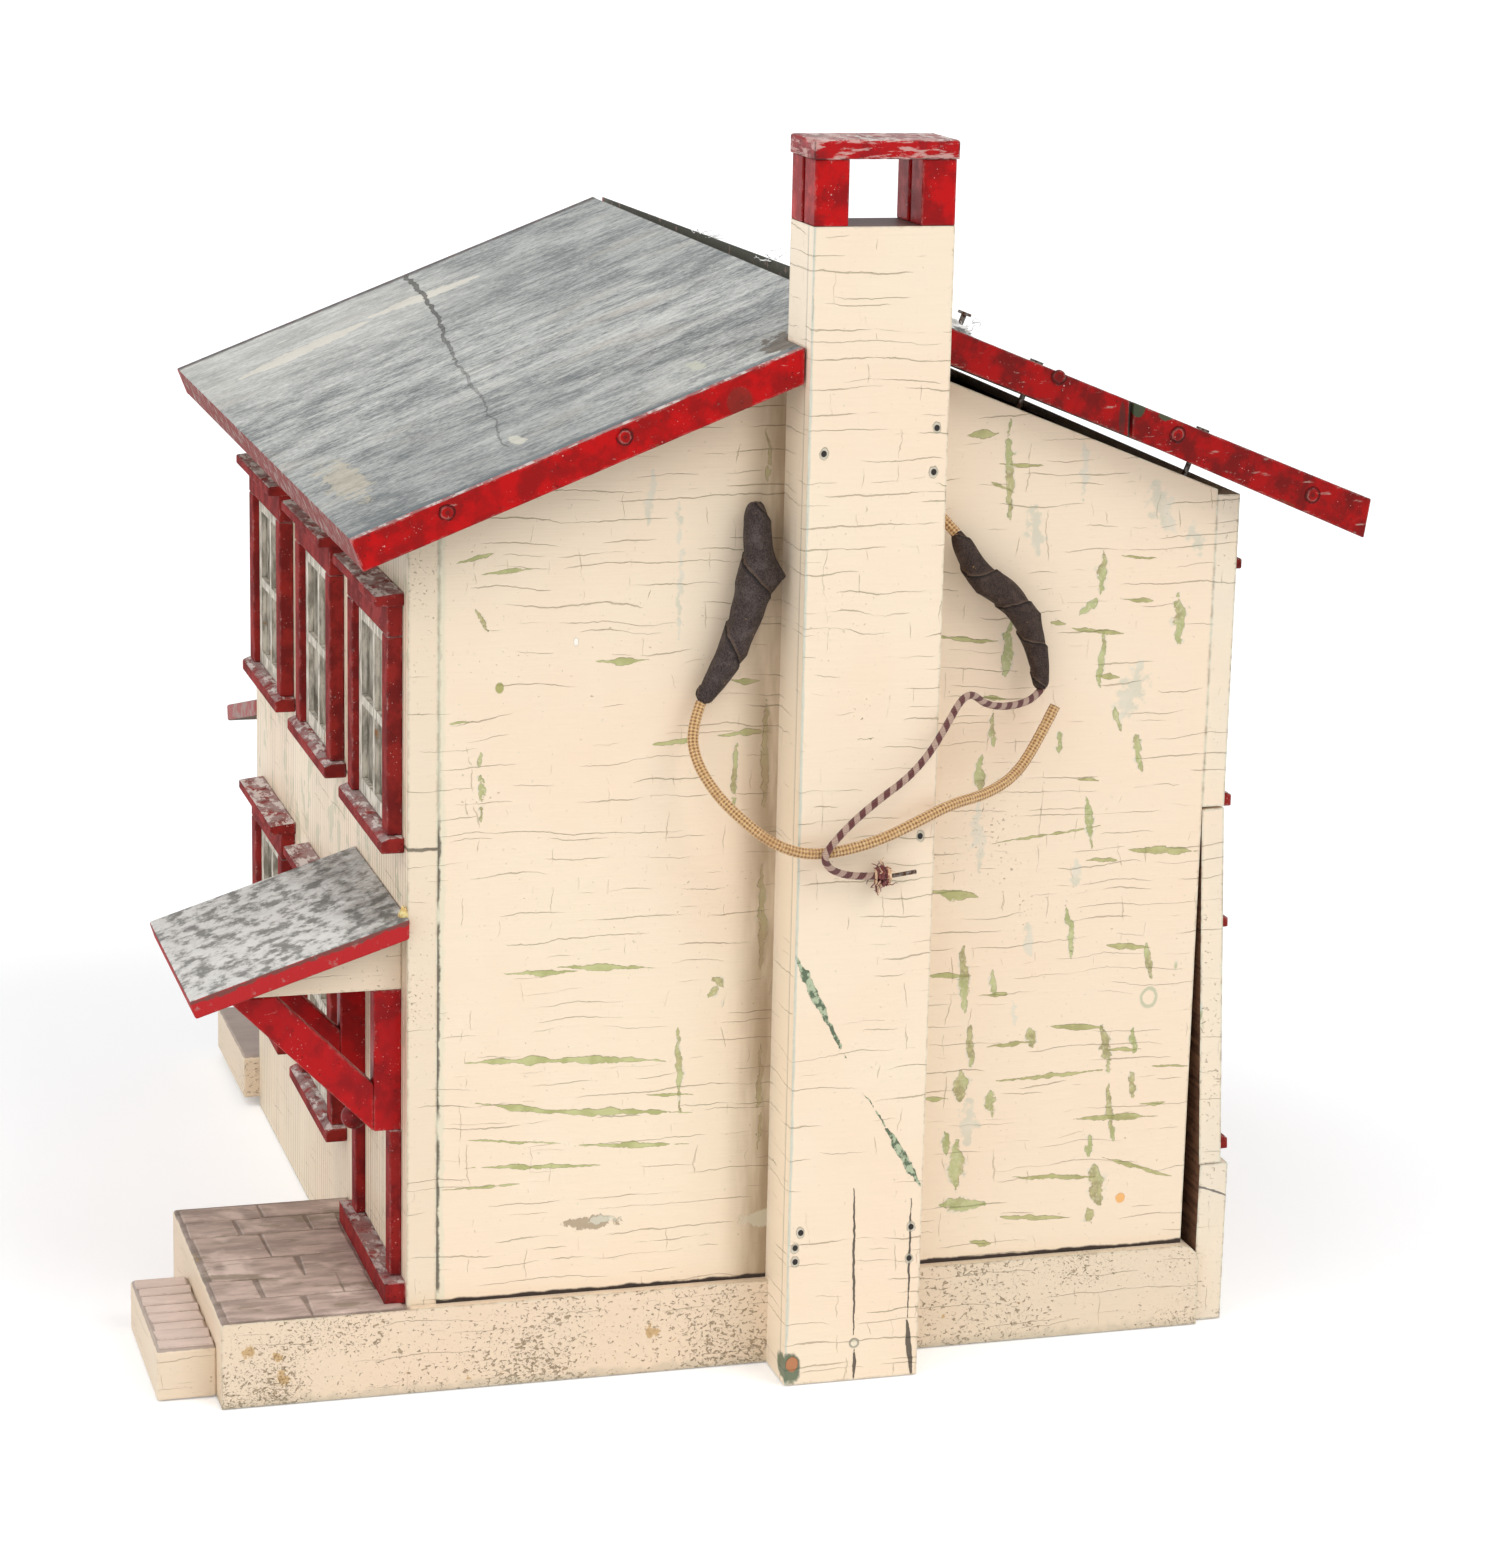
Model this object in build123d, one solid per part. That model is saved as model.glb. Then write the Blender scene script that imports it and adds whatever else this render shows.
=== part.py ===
from build123d import *
from math import cos, radians, sin, tan
import os

# Shell of the house, in millimetres
HOUSE_LENGTH = 264.0
HOUSE_DEPTH = 230.0
GABLE_T = 9.0
FRONT_T = 8.5
BACK_T = 7.0
APEX_Z = 301.0
RIDGE_OFFSET = 4.0
FRONT_SEAM_Z = 161.0
BACK_SEAM_Z = 162.0
BACK_SPRING = 2.5
BACK_SEAM_GAP = 0.6
WALL_TOP_GAP = 0.4
BACK_TOP_GAP = 1.6

# Timber base, porch, steps and floors
BASE_H = 25.5
PORCH_BEAM_W = 97.0
FAR_BEAM_W = 60.0
BEAM_PROUD = 3.0
BEAM_TAIL = 5.2
BEAM_ROUND = 6.0
PORCH_REACH = 54.0
STEP_REACH = 17.0
STEP_W = 57.5
STEP_H = 15.3
STEP_INSET = 10.0
STONE_ROUND = 1.2
STOOP_W = 92.0
STOOP_REACH = 60.0
STOOP_LIFT = 2.8
PLINTH_H = 50.0
PLINTH_T = 9.0
FLOOR_T = 6.0
UPPER_FLOOR_Z = 138.0
FLOOR_PLAY = 0.3

# Roof slopes
ROOF_PITCH = 21.6
ROOF_T = 9.5
EAVE_RUN = 147.0
RAKE_T = 3.0
NEAR_OVERHANG = 15.7
FAR_OVERHANG = 43.0
BACK_PANEL_SHIFT = 7.5
ROOF_LIFT = 4.5
ROOF_SLIP = 5.0
ROOF_TWIST = 0.6
RAKE_JOINT = 78.0
RAKE_REACH = 1.2
RAKE_END_LEAN = 1.7
RAKE_END_DROP = 11.4

# Nails that pin the loose slope to the gables
NAIL_R = 0.8
NAIL_HEAD_R = 2.0
NAIL_HEAD_T = 0.8
NAIL_BITE = 9.0
NAIL_PLAY = 0.08
NAIL_SHARES = (0.226, 0.435, 0.887)
PULLED_NAIL = 5.0

# Chimney with its open pot
CHIMNEY_W = 40.4
CHIMNEY_DEPTH = 22.0
CHIMNEY_FRONT_T = 5.5
CHIMNEY_TOP_Z = 336.2
CHIMNEY_GAP = 0.6
POST_W = 9.8
POST_H = 18.2
CAP_T = 5.2
CAP_LIP = 0.5
CAP_ROUND = 0.8

# Windows
WINDOW_FIRST = 38.0
WINDOW_LAST = 46.0
BACK_WINDOW_FIRST = 44.0
WINDOW_W = 61.0
JAMB_W = 7.5
JAMB_PROUD = 4.5
SILL_H = 4.5
SILL_REACH = 6.7
SILL_FALL = 1.0
SILL_HORN = 3.0
LINTEL_H = 9.0
CAP_BOARD_T = 4.0
CAP_REACH = 8.4
BACK_CAP_REACH = 6.5
BACK_TRIM_GAP = 0.15
CAP_HORN = 2.2
LIGHT_OVERLAP = 3.0
PANE_T = 0.8
SASH_T = 1.6
STILE_W = 4.6
MUNTIN_W = 3.0
SASH_PLAY = 0.3
UPPER_SILL_Z = 159.0
UPPER_LIGHT_H = 57.0
LOWER_SILL_Z = 43.5
LOWER_LIGHT_H = 61.0
BACK_UPPER_LIGHT_H = 58.5
BACK_LOWER_LIGHT_H = 57.0

# Doorways with their hoods
DOOR_W = 47.0
DOOR_TOP_Z = 112.0
DOOR_T = 5.0
DOOR_PROUD = 0.6
DOOR_GAP = 0.5
DOOR_JAMB_W = 6.5
DOOR_JAMB_PROUD = 3.5
DOOR_PLANKS = 5
PLANK_GROOVE = 0.8
THRESHOLD_W = 72.0
THRESHOLD_H = 6.5
THRESHOLD_REACH = 6.2
PIVOT_R = 0.8
PIVOT_PLAY = 0.05
PIVOT_HOLD = 4.0
KNOB_D = 7.5
KNOB_NECK_R = 1.5
KNOB_Z = 66.5
KNOB_REACH = 6.0
KNOB_INSET = 10.5
HOOD_W = 82.7
HOOD_REACH = 62.0
HOOD_WALL_Z = 142.0
HOOD_DROP = 20.2
SIDE_HOOD_WALL_Z = 145.5
SIDE_HOOD_DROP = 15.7
HOOD_T = 5.7
BRACKET_TOP_Z = 118.0
BRACKET_T = 6.0
LEG_REACH = 8.0
LEG_H = 42.0
BRACE_H = 14.0
SIDE_DOOR_INSET = 40.5

# Lamp inside the loft and its two leads
LAMP_Z = 249.0
LAMP_BLOCK_W = 74.0
LAMP_BLOCK_H = 26.0
LAMP_BLOCK_T = 7.0
HOLDER_R = 10.5
HOLDER_FLANGE_R = 13.0
HOLDER_FLANGE_T = 3.0
HOLDER_L = 24.0
HOLDER_BORE_R = 7.2
BULB_BASE_R = 6.9
BULB_R = 14.0
BULB_L = 46.0
CORD_R = 1.6
WIRE_R = 1.05
LEAD_PLAY = 0.4
TERMINAL_R = 3.0
TERMINAL_T = 1.5
LEFT_LEAD = (-24.0, 246.0)
RIGHT_LEAD = (28.5, 253.0)
KNOT_R = 3.4
BARE_WIRE_R = 0.6

# Free leads, as points on their centre lines: out from the chimney gable, along it and up
LEFT_WRAP = (
    (6.0, -26.2, 258.1, 3.2),
    (6.5, -25.9, 250.3, 4.1),
    (7.0, -25.2, 239.8, 5.2),
    (6.5, -28.8, 224.7, 4.3),
    (6.0, -33.3, 213.3, 3.7),
    (5.5, -40.8, 201.4, 2.4),
)
RIGHT_WRAP = (
    (5.5, 33.3, 247.5, 2.5),
    (6.5, 38.1, 238.0, 3.8),
    (7.0, 43.5, 232.8, 4.4),
    (7.0, 50.3, 228.5, 4.2),
    (7.0, 55.2, 221.3, 4.0),
    (6.5, 59.0, 212.8, 3.6),
    (6.0, 60.9, 201.5, 2.6),
)
TAN_ROUTE = (
    (5.5, -40.8, 201.4),
    (7.5, -44.2, 193.9),
    (11.0, -43.5, 185.5),
    (16.0, -38.9, 177.1),
    (21.5, -32.7, 170.7),
    (25.5, -25.0, 164.5),
    (27.0, -15.3, 161.0),
    (27.2, -4.0, 161.8),
    (27.2, 7.4, 164.8),
    (27.0, 18.0, 169.5),
    (24.5, 28.4, 173.3),
    (19.0, 40.0, 173.9),
    (14.0, 50.5, 177.5),
    (10.5, 57.8, 185.5),
    (8.5, 64.2, 196.6),
)
STRIPED_ROUTE = (
    (6.0, 60.9, 201.5),
    (7.5, 58.3, 199.1),
    (10.0, 52.6, 197.8),
    (13.0, 45.8, 198.1),
    (16.0, 39.8, 200.0),
    (19.0, 35.2, 203.8),
    (22.0, 30.8, 203.0),
    (25.5, 25.6, 196.5),
    (28.0, 20.0, 189.2),
    (29.5, 13.2, 182.6),
    (30.5, 4.8, 177.3),
    (31.0, -3.4, 170.9),
    (31.0, -9.2, 164.8),
    (30.5, -11.3, 161.0),
    (29.0, -9.1, 157.3),
    (27.5, -4.2, 154.9),
    (26.5, 1.5, 153.9),
    (26.0, 5.8, 153.7),
)
BARE_END = (
    (26.0, 6.4, 153.6),
    (26.0, 10.0, 153.4),
    (25.5, 17.8, 154.2),
)

# Places that follow from the sizes above
PITCH_SIN = sin(radians(ROOF_PITCH))
PITCH_COS = cos(radians(ROOF_PITCH))
PITCH_TAN = tan(radians(ROOF_PITCH))
FRONT_REACH = HOUSE_DEPTH / 2 + FRONT_T + PORCH_REACH + STEP_REACH
BACK_REACH = RIDGE_OFFSET + EAVE_RUN + ROOF_SLIP * PITCH_COS + ROOF_LIFT * PITCH_SIN
MID_Y = (FRONT_REACH - BACK_REACH) / 2
NEAR_X = (HOUSE_LENGTH + HOOD_REACH - CHIMNEY_DEPTH - CAP_LIP) / 2
FAR_X = NEAR_X - HOUSE_LENGTH
FRONT_Y = MID_Y - HOUSE_DEPTH / 2
BACK_Y = MID_Y + HOUSE_DEPTH / 2
RIDGE_Y = MID_Y + RIDGE_OFFSET
CHIMNEY_Y = (RIDGE_Y - CHIMNEY_W / 2, RIDGE_Y + CHIMNEY_W / 2)
POT_TOP_Z = CHIMNEY_TOP_Z + POST_H + CAP_T
INSIDE_X = (FAR_X + GABLE_T, NEAR_X - GABLE_T)
DOOR_X = -WINDOW_FIRST
WINDOW_STEP = (HOUSE_LENGTH - WINDOW_FIRST - WINDOW_LAST) / 2
NAIL_RUNS = tuple(share * HOUSE_DEPTH / 2 for share in NAIL_SHARES)
FLOOR_Z = BASE_H + FLOOR_T
LIFT_AXIS = (0, PITCH_SIN, PITCH_COS)

# Each wall has its own axes: x along the wall, y up, z outwards, from the ground at its outer face
FRONT_WALL = Plane((NEAR_X, FRONT_Y - FRONT_T, 0), x_dir=(1, 0, 0), z_dir=(0, -1, 0)).location
BACK_WALL = Plane((NEAR_X, BACK_Y + BACK_T, 0), x_dir=(-1, 0, 0), z_dir=(0, 1, 0)).location
SPRUNG_WALL = BACK_WALL * Pos(0, BACK_SEAM_Z, 0) * Rot(-BACK_SPRING, 0, 0) * Pos(0, -BACK_SEAM_Z, 0)
SIDE_WALL = Plane((FAR_X, MID_Y, 0), x_dir=(0, -1, 0), z_dir=(-1, 0, 0)).location
ALONG_WALL = Plane((0, 0, 0), x_dir=(0, 0, 1), z_dir=(-1, 0, 0))

LOW_END = (Align.CENTER, Align.CENTER, Align.MIN)


def span(x, y):
    """Rectangle between a pair of x values and a pair of y values."""
    return Pos((x[0] + x[1]) / 2, (y[0] + y[1]) / 2) * Rectangle(x[1] - x[0], y[1] - y[0])


def block(x, y, z):
    """Squared timber between pairs of x, y and z values."""
    return Pos(0, 0, z[0]) * extrude(span(x, y), amount=z[1] - z[0])


def strip(profile, x):
    """Length of trim along a wall: (out, up) points of its section, run between two x values."""
    section = ALONG_WALL * Polygon(*profile, align=None)
    return Pos(x[0], 0, 0) * extrude(section, amount=x[1] - x[0], dir=(1, 0, 0))


def along_house(outline, x):
    """Solid with an outline of (y, z) points, run along the house between two x values."""
    section = Plane.YZ * Polygon(*outline, align=None)
    return Pos(x[0], 0, 0) * extrude(section, amount=x[1] - x[0], dir=(1, 0, 0))


def pin(start, direction, radius, length):
    """Round pin from a start point along a direction."""
    return Plane(start, z_dir=direction) * Cylinder(radius, length, align=LOW_END)


def group(pieces):
    """Like pieces that share one node, each still a solid of its own."""
    return Compound(children=list(pieces))


def board(thickness, outline, holes=()):
    """Wall board in wall axes, its outer face at z = 0, with holes sawn through it."""
    face = outline
    for hole in holes:
        face -= hole
    return Pos(0, 0, -thickness) * extrude(face, amount=thickness)


# Base timbers, floors and steps
def porch_beam():
    """Thick plank under the chimney gable that runs out in front as the porch."""
    x = (NEAR_X + BEAM_PROUD - PORCH_BEAM_W, NEAR_X + BEAM_PROUD)
    y = (FRONT_Y - FRONT_T - PORCH_REACH, BACK_Y + BEAM_TAIL)
    plank = block(x, y, (0, BASE_H))
    plank = fillet(plank.edges().filter_by(Axis.X).group_by(Axis.Z)[-1].sort_by(Axis.Y)[-1], BEAM_ROUND)
    front_edge = plank.edges().filter_by(Axis.X).group_by(Axis.Z)[-1].sort_by(Axis.Y)[0]
    return fillet(front_edge, STONE_ROUND)


def far_beam():
    """Plank under the far gable, set between the front and back boards."""
    return block((FAR_X, FAR_X + FAR_BEAM_W), (FRONT_Y, BACK_Y + BEAM_TAIL), (0, BASE_H))


def stone_block(x, y, z):
    """Step with eased upper edges."""
    stone = block(x, y, z)
    return fillet(stone.faces().sort_by(Axis.Z)[-1].edges(), STONE_ROUND)


def porch_step():
    right = NEAR_X - STEP_INSET + BEAM_PROUD
    front = FRONT_Y - FRONT_T - PORCH_REACH
    return stone_block((right - STEP_W, right), (front - STEP_REACH, front), (0, STEP_H))


def side_stoop():
    """Step at the side door, fixed to the far gable's beam a little clear of the ground."""
    middle = FRONT_Y - FRONT_T + SIDE_DOOR_INSET
    y = (middle - STOOP_W / 2, middle + STOOP_W / 2)
    return stone_block((FAR_X - STOOP_REACH, FAR_X), y, (STOOP_LIFT, STOOP_LIFT + STEP_H - FLOOR_PLAY))


def floor(z):
    return block(
        (INSIDE_X[0] + FLOOR_PLAY, INSIDE_X[1] - FLOOR_PLAY),
        (FRONT_Y, BACK_Y - FLOOR_PLAY),
        (z, z + FLOOR_T),
    )


# Windows, each in the axes of its wall
def light_size(light_height):
    """Clear opening between the jambs: width and height."""
    return WINDOW_W - 2 * JAMB_W, light_height


def window_hole(x, sill_z, light_height):
    width, height = light_size(light_height)
    bottom = sill_z + SILL_H
    return span(
        (x - width / 2 + LIGHT_OVERLAP, x + width / 2 - LIGHT_OVERLAP),
        (bottom + LIGHT_OVERLAP, bottom + height - LIGHT_OVERLAP),
    )


def window_sill(x, sill_z, light_height, cap_reach):
    half = WINDOW_W / 2 + SILL_HORN
    section = (
        (0, sill_z),
        (SILL_REACH, sill_z),
        (SILL_REACH, sill_z + SILL_H - SILL_FALL),
        (JAMB_PROUD, sill_z + SILL_H),
        (0, sill_z + SILL_H),
    )
    yield strip(section, (x - half, x + half))


def window_jambs(x, sill_z, light_height, cap_reach):
    bottom = sill_z + SILL_H
    for side in (-1, 1):
        middle = x + side * (WINDOW_W - JAMB_W) / 2
        upright = span((middle - JAMB_W / 2, middle + JAMB_W / 2), (bottom, bottom + light_height))
        yield extrude(upright, amount=JAMB_PROUD)


def window_lintel(x, sill_z, light_height, cap_reach):
    bottom = sill_z + SILL_H + light_height
    face = span((x - WINDOW_W / 2, x + WINDOW_W / 2), (bottom, bottom + LINTEL_H))
    yield extrude(face, amount=JAMB_PROUD)


def window_cap(x, sill_z, light_height, cap_reach):
    half = WINDOW_W / 2 + CAP_HORN
    bottom = sill_z + SILL_H + light_height + LINTEL_H
    section = (
        (0, bottom),
        (cap_reach, bottom),
        (cap_reach, bottom + CAP_BOARD_T - SILL_FALL),
        (0, bottom + CAP_BOARD_T),
    )
    yield strip(section, (x - half, x + half))


def window_pane(x, sill_z, light_height, cap_reach):
    width, height = light_size(light_height)
    bottom = sill_z + SILL_H
    sheet = span(
        (x - width / 2 + SASH_PLAY, x + width / 2 - SASH_PLAY),
        (bottom + SASH_PLAY, bottom + height - SASH_PLAY),
    )
    yield extrude(sheet, amount=PANE_T)


def window_sash(x, sill_z, light_height, cap_reach):
    """Glazing frame: stiles all round with a cross of bars, lying on the pane."""
    width, height = light_size(light_height)
    width -= 2 * SASH_PLAY
    height -= 2 * SASH_PLAY
    light_w = (width - 2 * STILE_W - MUNTIN_W) / 2
    light_h = (height - 2 * STILE_W - MUNTIN_W) / 2
    lights = GridLocations(light_w + MUNTIN_W, light_h + MUNTIN_W, 2, 2) * Rectangle(light_w, light_h)
    frame = extrude(Rectangle(width, height) - lights, amount=SASH_T)
    yield Pos(x, sill_z + SILL_H + height / 2 + SASH_PLAY, PANE_T) * frame


def columns(first, side, numbers):
    """Middles of a row's windows along its wall, counted from the chimney end."""
    return tuple(side * (first + number * WINDOW_STEP) for number in numbers)


BACK_LOWER_SILL_Z = PLINTH_H + FLOOR_PLAY
FRONT_UPPER = (columns(WINDOW_FIRST, -1, (0, 1, 2)), UPPER_SILL_Z, UPPER_LIGHT_H, CAP_REACH)
FRONT_LOWER = (columns(WINDOW_FIRST, -1, (1, 2)), LOWER_SILL_Z, LOWER_LIGHT_H, CAP_REACH)
BACK_UPPER = (columns(BACK_WINDOW_FIRST, 1, (0, 1, 2)), UPPER_SILL_Z, BACK_UPPER_LIGHT_H, BACK_CAP_REACH)
BACK_LOWER = (columns(BACK_WINDOW_FIRST, 1, (0, 1, 2)), BACK_LOWER_SILL_Z, BACK_LOWER_LIGHT_H, BACK_CAP_REACH)
WINDOW_ROWS = (
    (FRONT_WALL, FRONT_UPPER),
    (FRONT_WALL, FRONT_LOWER),
    (BACK_WALL * Pos(0, 0, BACK_TRIM_GAP), BACK_UPPER),
    (SPRUNG_WALL, BACK_LOWER),
)


def row_holes(row):
    middles, sill_z, light_height, cap_reach = row
    return [window_hole(x, sill_z, light_height) for x in middles]


def every_window(make):
    """One kind of window piece, made for every window of the house."""
    pieces = []
    for wall, (middles, sill_z, light_height, cap_reach) in WINDOW_ROWS:
        for x in middles:
            pieces += [wall * piece for piece in make(x, sill_z, light_height, cap_reach)]
    return group(pieces)


# Doorways with their hoods, in wall axes about the middle of the door
FRONT_DOOR = FRONT_WALL * Pos(DOOR_X, 0, 0)
SIDE_DOOR = SIDE_WALL * Pos(HOUSE_DEPTH / 2 + FRONT_T - SIDE_DOOR_INSET, 0, 0)
DOOR_BOTTOM_Z = BASE_H + THRESHOLD_H
PIVOT_X = DOOR_W / 2 - DOOR_GAP - DOOR_T / 2
PIVOT_OUT = DOOR_PROUD - DOOR_T / 2


def door_hole(x):
    return span((x - DOOR_W / 2, x + DOOR_W / 2), (BASE_H, DOOR_TOP_Z))


def pivot_hole(start_z, end_z):
    """Drilled seat for a door pivot, between two heights."""
    return pin((PIVOT_X, start_z, PIVOT_OUT), (0, 1, 0), PIVOT_R + PIVOT_PLAY, end_z - start_z)


def door_jambs():
    bottom = DOOR_BOTTOM_Z
    for side in (-1, 1):
        middle = side * (DOOR_W + DOOR_JAMB_W) / 2
        x = (middle - DOOR_JAMB_W / 2, middle + DOOR_JAMB_W / 2)
        yield extrude(span(x, (bottom, BRACKET_TOP_Z - LEG_H)), amount=DOOR_JAMB_PROUD)


def door_lintel():
    half = DOOR_W / 2
    return extrude(span((-half, half), (DOOR_TOP_Z, BRACKET_TOP_Z)), amount=DOOR_JAMB_PROUD)


def door_threshold(wall_t):
    """Doorstep board: a nosing in front of the wall and a tongue through the doorway."""
    z = (BASE_H, DOOR_BOTTOM_Z)
    nosing = extrude(span((-THRESHOLD_W / 2, THRESHOLD_W / 2), z), amount=THRESHOLD_REACH)
    tongue = Pos(0, 0, -wall_t) * extrude(span((-DOOR_W / 2, DOOR_W / 2), z), amount=wall_t)
    seat = pivot_hole(DOOR_BOTTOM_Z - PIVOT_HOLD - DOOR_GAP, DOOR_BOTTOM_Z)
    return nosing + tongue - seat


def door_leaf():
    """Planked leaf with a rounded hinge edge and sockets for its two pivots."""
    x = (DOOR_GAP - DOOR_W / 2, PIVOT_X)
    z = (DOOR_BOTTOM_Z + DOOR_GAP, DOOR_TOP_Z - DOOR_GAP)
    height = z[1] - z[0]
    leaf = Pos(0, 0, DOOR_PROUD - DOOR_T) * extrude(span(x, z), amount=DOOR_T)
    leaf += pin((PIVOT_X, z[0], PIVOT_OUT), (0, 1, 0), DOOR_T / 2, height)
    pitch = DOOR_W / DOOR_PLANKS
    for seam in range(1, DOOR_PLANKS):
        groove = Rot(0, 0, 45) * Rectangle(PLANK_GROOVE, PLANK_GROOVE)
        start = Plane((seam * pitch - DOOR_W / 2, z[0], DOOR_PROUD), z_dir=(0, 1, 0))
        leaf -= extrude(start * groove, amount=height)
    for bottom in (z[0], z[1] - PIVOT_HOLD):
        leaf -= pin((PIVOT_X, bottom, PIVOT_OUT), (0, 1, 0), PIVOT_R, PIVOT_HOLD)
    return leaf


def door_pivots():
    """Two headless nails the leaf turns on, one at its foot and one at its head."""
    length = 2 * PIVOT_HOLD
    yield pin((PIVOT_X, DOOR_BOTTOM_Z + DOOR_GAP - PIVOT_HOLD, PIVOT_OUT), (0, 1, 0), PIVOT_R, length)
    yield pin((PIVOT_X, DOOR_TOP_Z - DOOR_GAP - PIVOT_HOLD, PIVOT_OUT), (0, 1, 0), PIVOT_R, length)


def door_knob():
    """Turned ball on a short neck, at the edge away from the pivots."""
    ball = Pos(0, 0, KNOB_REACH) * Sphere(KNOB_D / 2)
    neck = Pos(0, 0, DOOR_PROUD) * Cylinder(KNOB_NECK_R, KNOB_REACH - DOOR_PROUD, align=LOW_END)
    return Pos(KNOB_INSET - DOOR_W / 2, KNOB_Z, 0) * (ball + neck)


def hood_fall(hood):
    """Slope of a hood, from the height of its top at the wall and its drop to the outer edge."""
    wall_z, drop = hood
    return drop / HOOD_REACH


def hood_under(hood, out):
    """Height of a hood's underside at a distance out from the wall."""
    wall_z, drop = hood
    plumb_t = HOOD_T * (1 + hood_fall(hood) ** 2) ** 0.5
    return wall_z - plumb_t - out * hood_fall(hood)


def hood_roof(hood):
    """Sloping board, cut square at its outer edge."""
    wall_z, drop = hood
    fall = hood_fall(hood)
    tip_in = HOOD_REACH - HOOD_T * fall / (1 + fall**2) ** 0.5
    section = (
        (0, hood_under(hood, 0)),
        (tip_in, hood_under(hood, tip_in)),
        (HOOD_REACH, wall_z - drop),
        (0, wall_z),
    )
    return strip(section, (-HOOD_W / 2, HOOD_W / 2))


def bracket_sides(profile):
    """The same cut-out at both sides of the doorway, in line with the jambs."""
    inner = DOOR_W / 2
    for x in ((-inner - BRACKET_T, -inner), (inner, inner + BRACKET_T)):
        yield strip(profile, x)


def hood_cheeks(hood):
    """Tapered boards that carry a hood on its brackets."""
    rise = hood_under(hood, 0) - BRACKET_TOP_Z
    tip = min(rise / hood_fall(hood), HOOD_REACH - HOOD_T)
    section = [(0, BRACKET_TOP_Z), (tip, BRACKET_TOP_Z), (0, hood_under(hood, 0))]
    if hood_under(hood, tip) > BRACKET_TOP_Z:
        section.insert(2, (tip, hood_under(hood, tip)))
    return bracket_sides(section)


def bracket_legs():
    foot = BRACKET_TOP_Z - LEG_H
    return bracket_sides(((0, foot), (LEG_REACH, foot), (LEG_REACH, BRACKET_TOP_Z), (0, BRACKET_TOP_Z)))


def bracket_braces():
    """Sloping braces at 45 degrees from the foot of each leg out to the cheek."""
    foot = BRACKET_TOP_Z - LEG_H
    rise = BRACKET_TOP_Z - foot
    return bracket_sides((
        (LEG_REACH, foot),
        (LEG_REACH + rise, BRACKET_TOP_Z),
        (LEG_REACH + rise - BRACE_H, BRACKET_TOP_Z),
        (LEG_REACH, foot + BRACE_H),
    ))


FRONT_HOOD = (HOOD_WALL_Z, HOOD_DROP)
SIDE_HOOD = (SIDE_HOOD_WALL_Z, SIDE_HOOD_DROP)


def both_cheeks():
    front = [FRONT_DOOR * piece for piece in hood_cheeks(FRONT_HOOD)]
    side = [SIDE_DOOR * piece for piece in hood_cheeks(SIDE_HOOD)]
    return group(front + side)


def at_both_doors(make):
    """The same pieces at the front door and at the side door."""
    return group(place * piece for place in (FRONT_DOOR, SIDE_DOOR) for piece in make())


# Walls
def roof_under(y):
    """Height of the seated slopes' underside at a distance y."""
    return APEX_Z - abs(y - RIDGE_Y) * PITCH_TAN


GABLE_OUTLINE = (
    (FRONT_Y, BASE_H),
    (BACK_Y, BASE_H),
    (BACK_Y, roof_under(BACK_Y)),
    (RIDGE_Y, APEX_Z),
    (FRONT_Y, roof_under(FRONT_Y)),
)


def gable(x):
    """Pentagon board standing on its beam, with the nail holes of the loose slope."""
    sheet = along_house(GABLE_OUTLINE, x)
    for run in NAIL_RUNS:
        sheet -= nail_line((x[0] + x[1]) / 2, run, -2 * NAIL_BITE - ROOF_LIFT, 0, NAIL_R + NAIL_PLAY)
    return sheet


def chimney_gable():
    """Gable behind the chimney, drilled for the two lamp leads."""
    sheet = gable((NEAR_X - GABLE_T, NEAR_X))
    for y, z in (LEFT_LEAD, RIGHT_LEAD):
        start = (NEAR_X - 2 * GABLE_T, MID_Y + y, z)
        sheet -= pin(start, (1, 0, 0), CORD_R + LEAD_PLAY, 3 * GABLE_T)
    return sheet


def far_gable():
    """Gable with the side doorway."""
    opening = SIDE_DOOR * board(GABLE_T, door_hole(0))
    seat = SIDE_DOOR * pivot_hole(DOOR_TOP_Z, DOOR_TOP_Z + PIVOT_HOLD + DOOR_GAP)
    return gable((FAR_X, FAR_X + GABLE_T)) - opening - seat


def bevelled(sheet):
    """Trim the top of the front board to the slope of the roof above it."""
    outer_y = FRONT_Y - FRONT_T
    waste = (
        (FRONT_Y, roof_under(FRONT_Y) - WALL_TOP_GAP),
        (outer_y, roof_under(outer_y) - WALL_TOP_GAP),
        (outer_y, APEX_Z),
        (FRONT_Y, APEX_Z),
    )
    return sheet - along_house(waste, (FAR_X, NEAR_X))


def front_wall_lower():
    """Lower front board: stands on the porch beam at one end, reaches the ground past it."""
    sheet = span((-HOUSE_LENGTH, 0), (0, FRONT_SEAM_Z))
    beam_gap = span((BEAM_PROUD - PORCH_BEAM_W - FLOOR_PLAY, 0), (0, BASE_H))
    wall = board(FRONT_T, sheet, [beam_gap, door_hole(DOOR_X)] + row_holes(FRONT_LOWER))
    seat = Pos(DOOR_X, 0, 0) * pivot_hole(DOOR_TOP_Z, DOOR_TOP_Z + PIVOT_HOLD + DOOR_GAP)
    return FRONT_WALL * (wall - seat)


def front_wall_upper():
    sheet = span((-HOUSE_LENGTH, 0), (FRONT_SEAM_Z, roof_under(FRONT_Y)))
    return bevelled(FRONT_WALL * board(FRONT_T, sheet, row_holes(FRONT_UPPER)))


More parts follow.
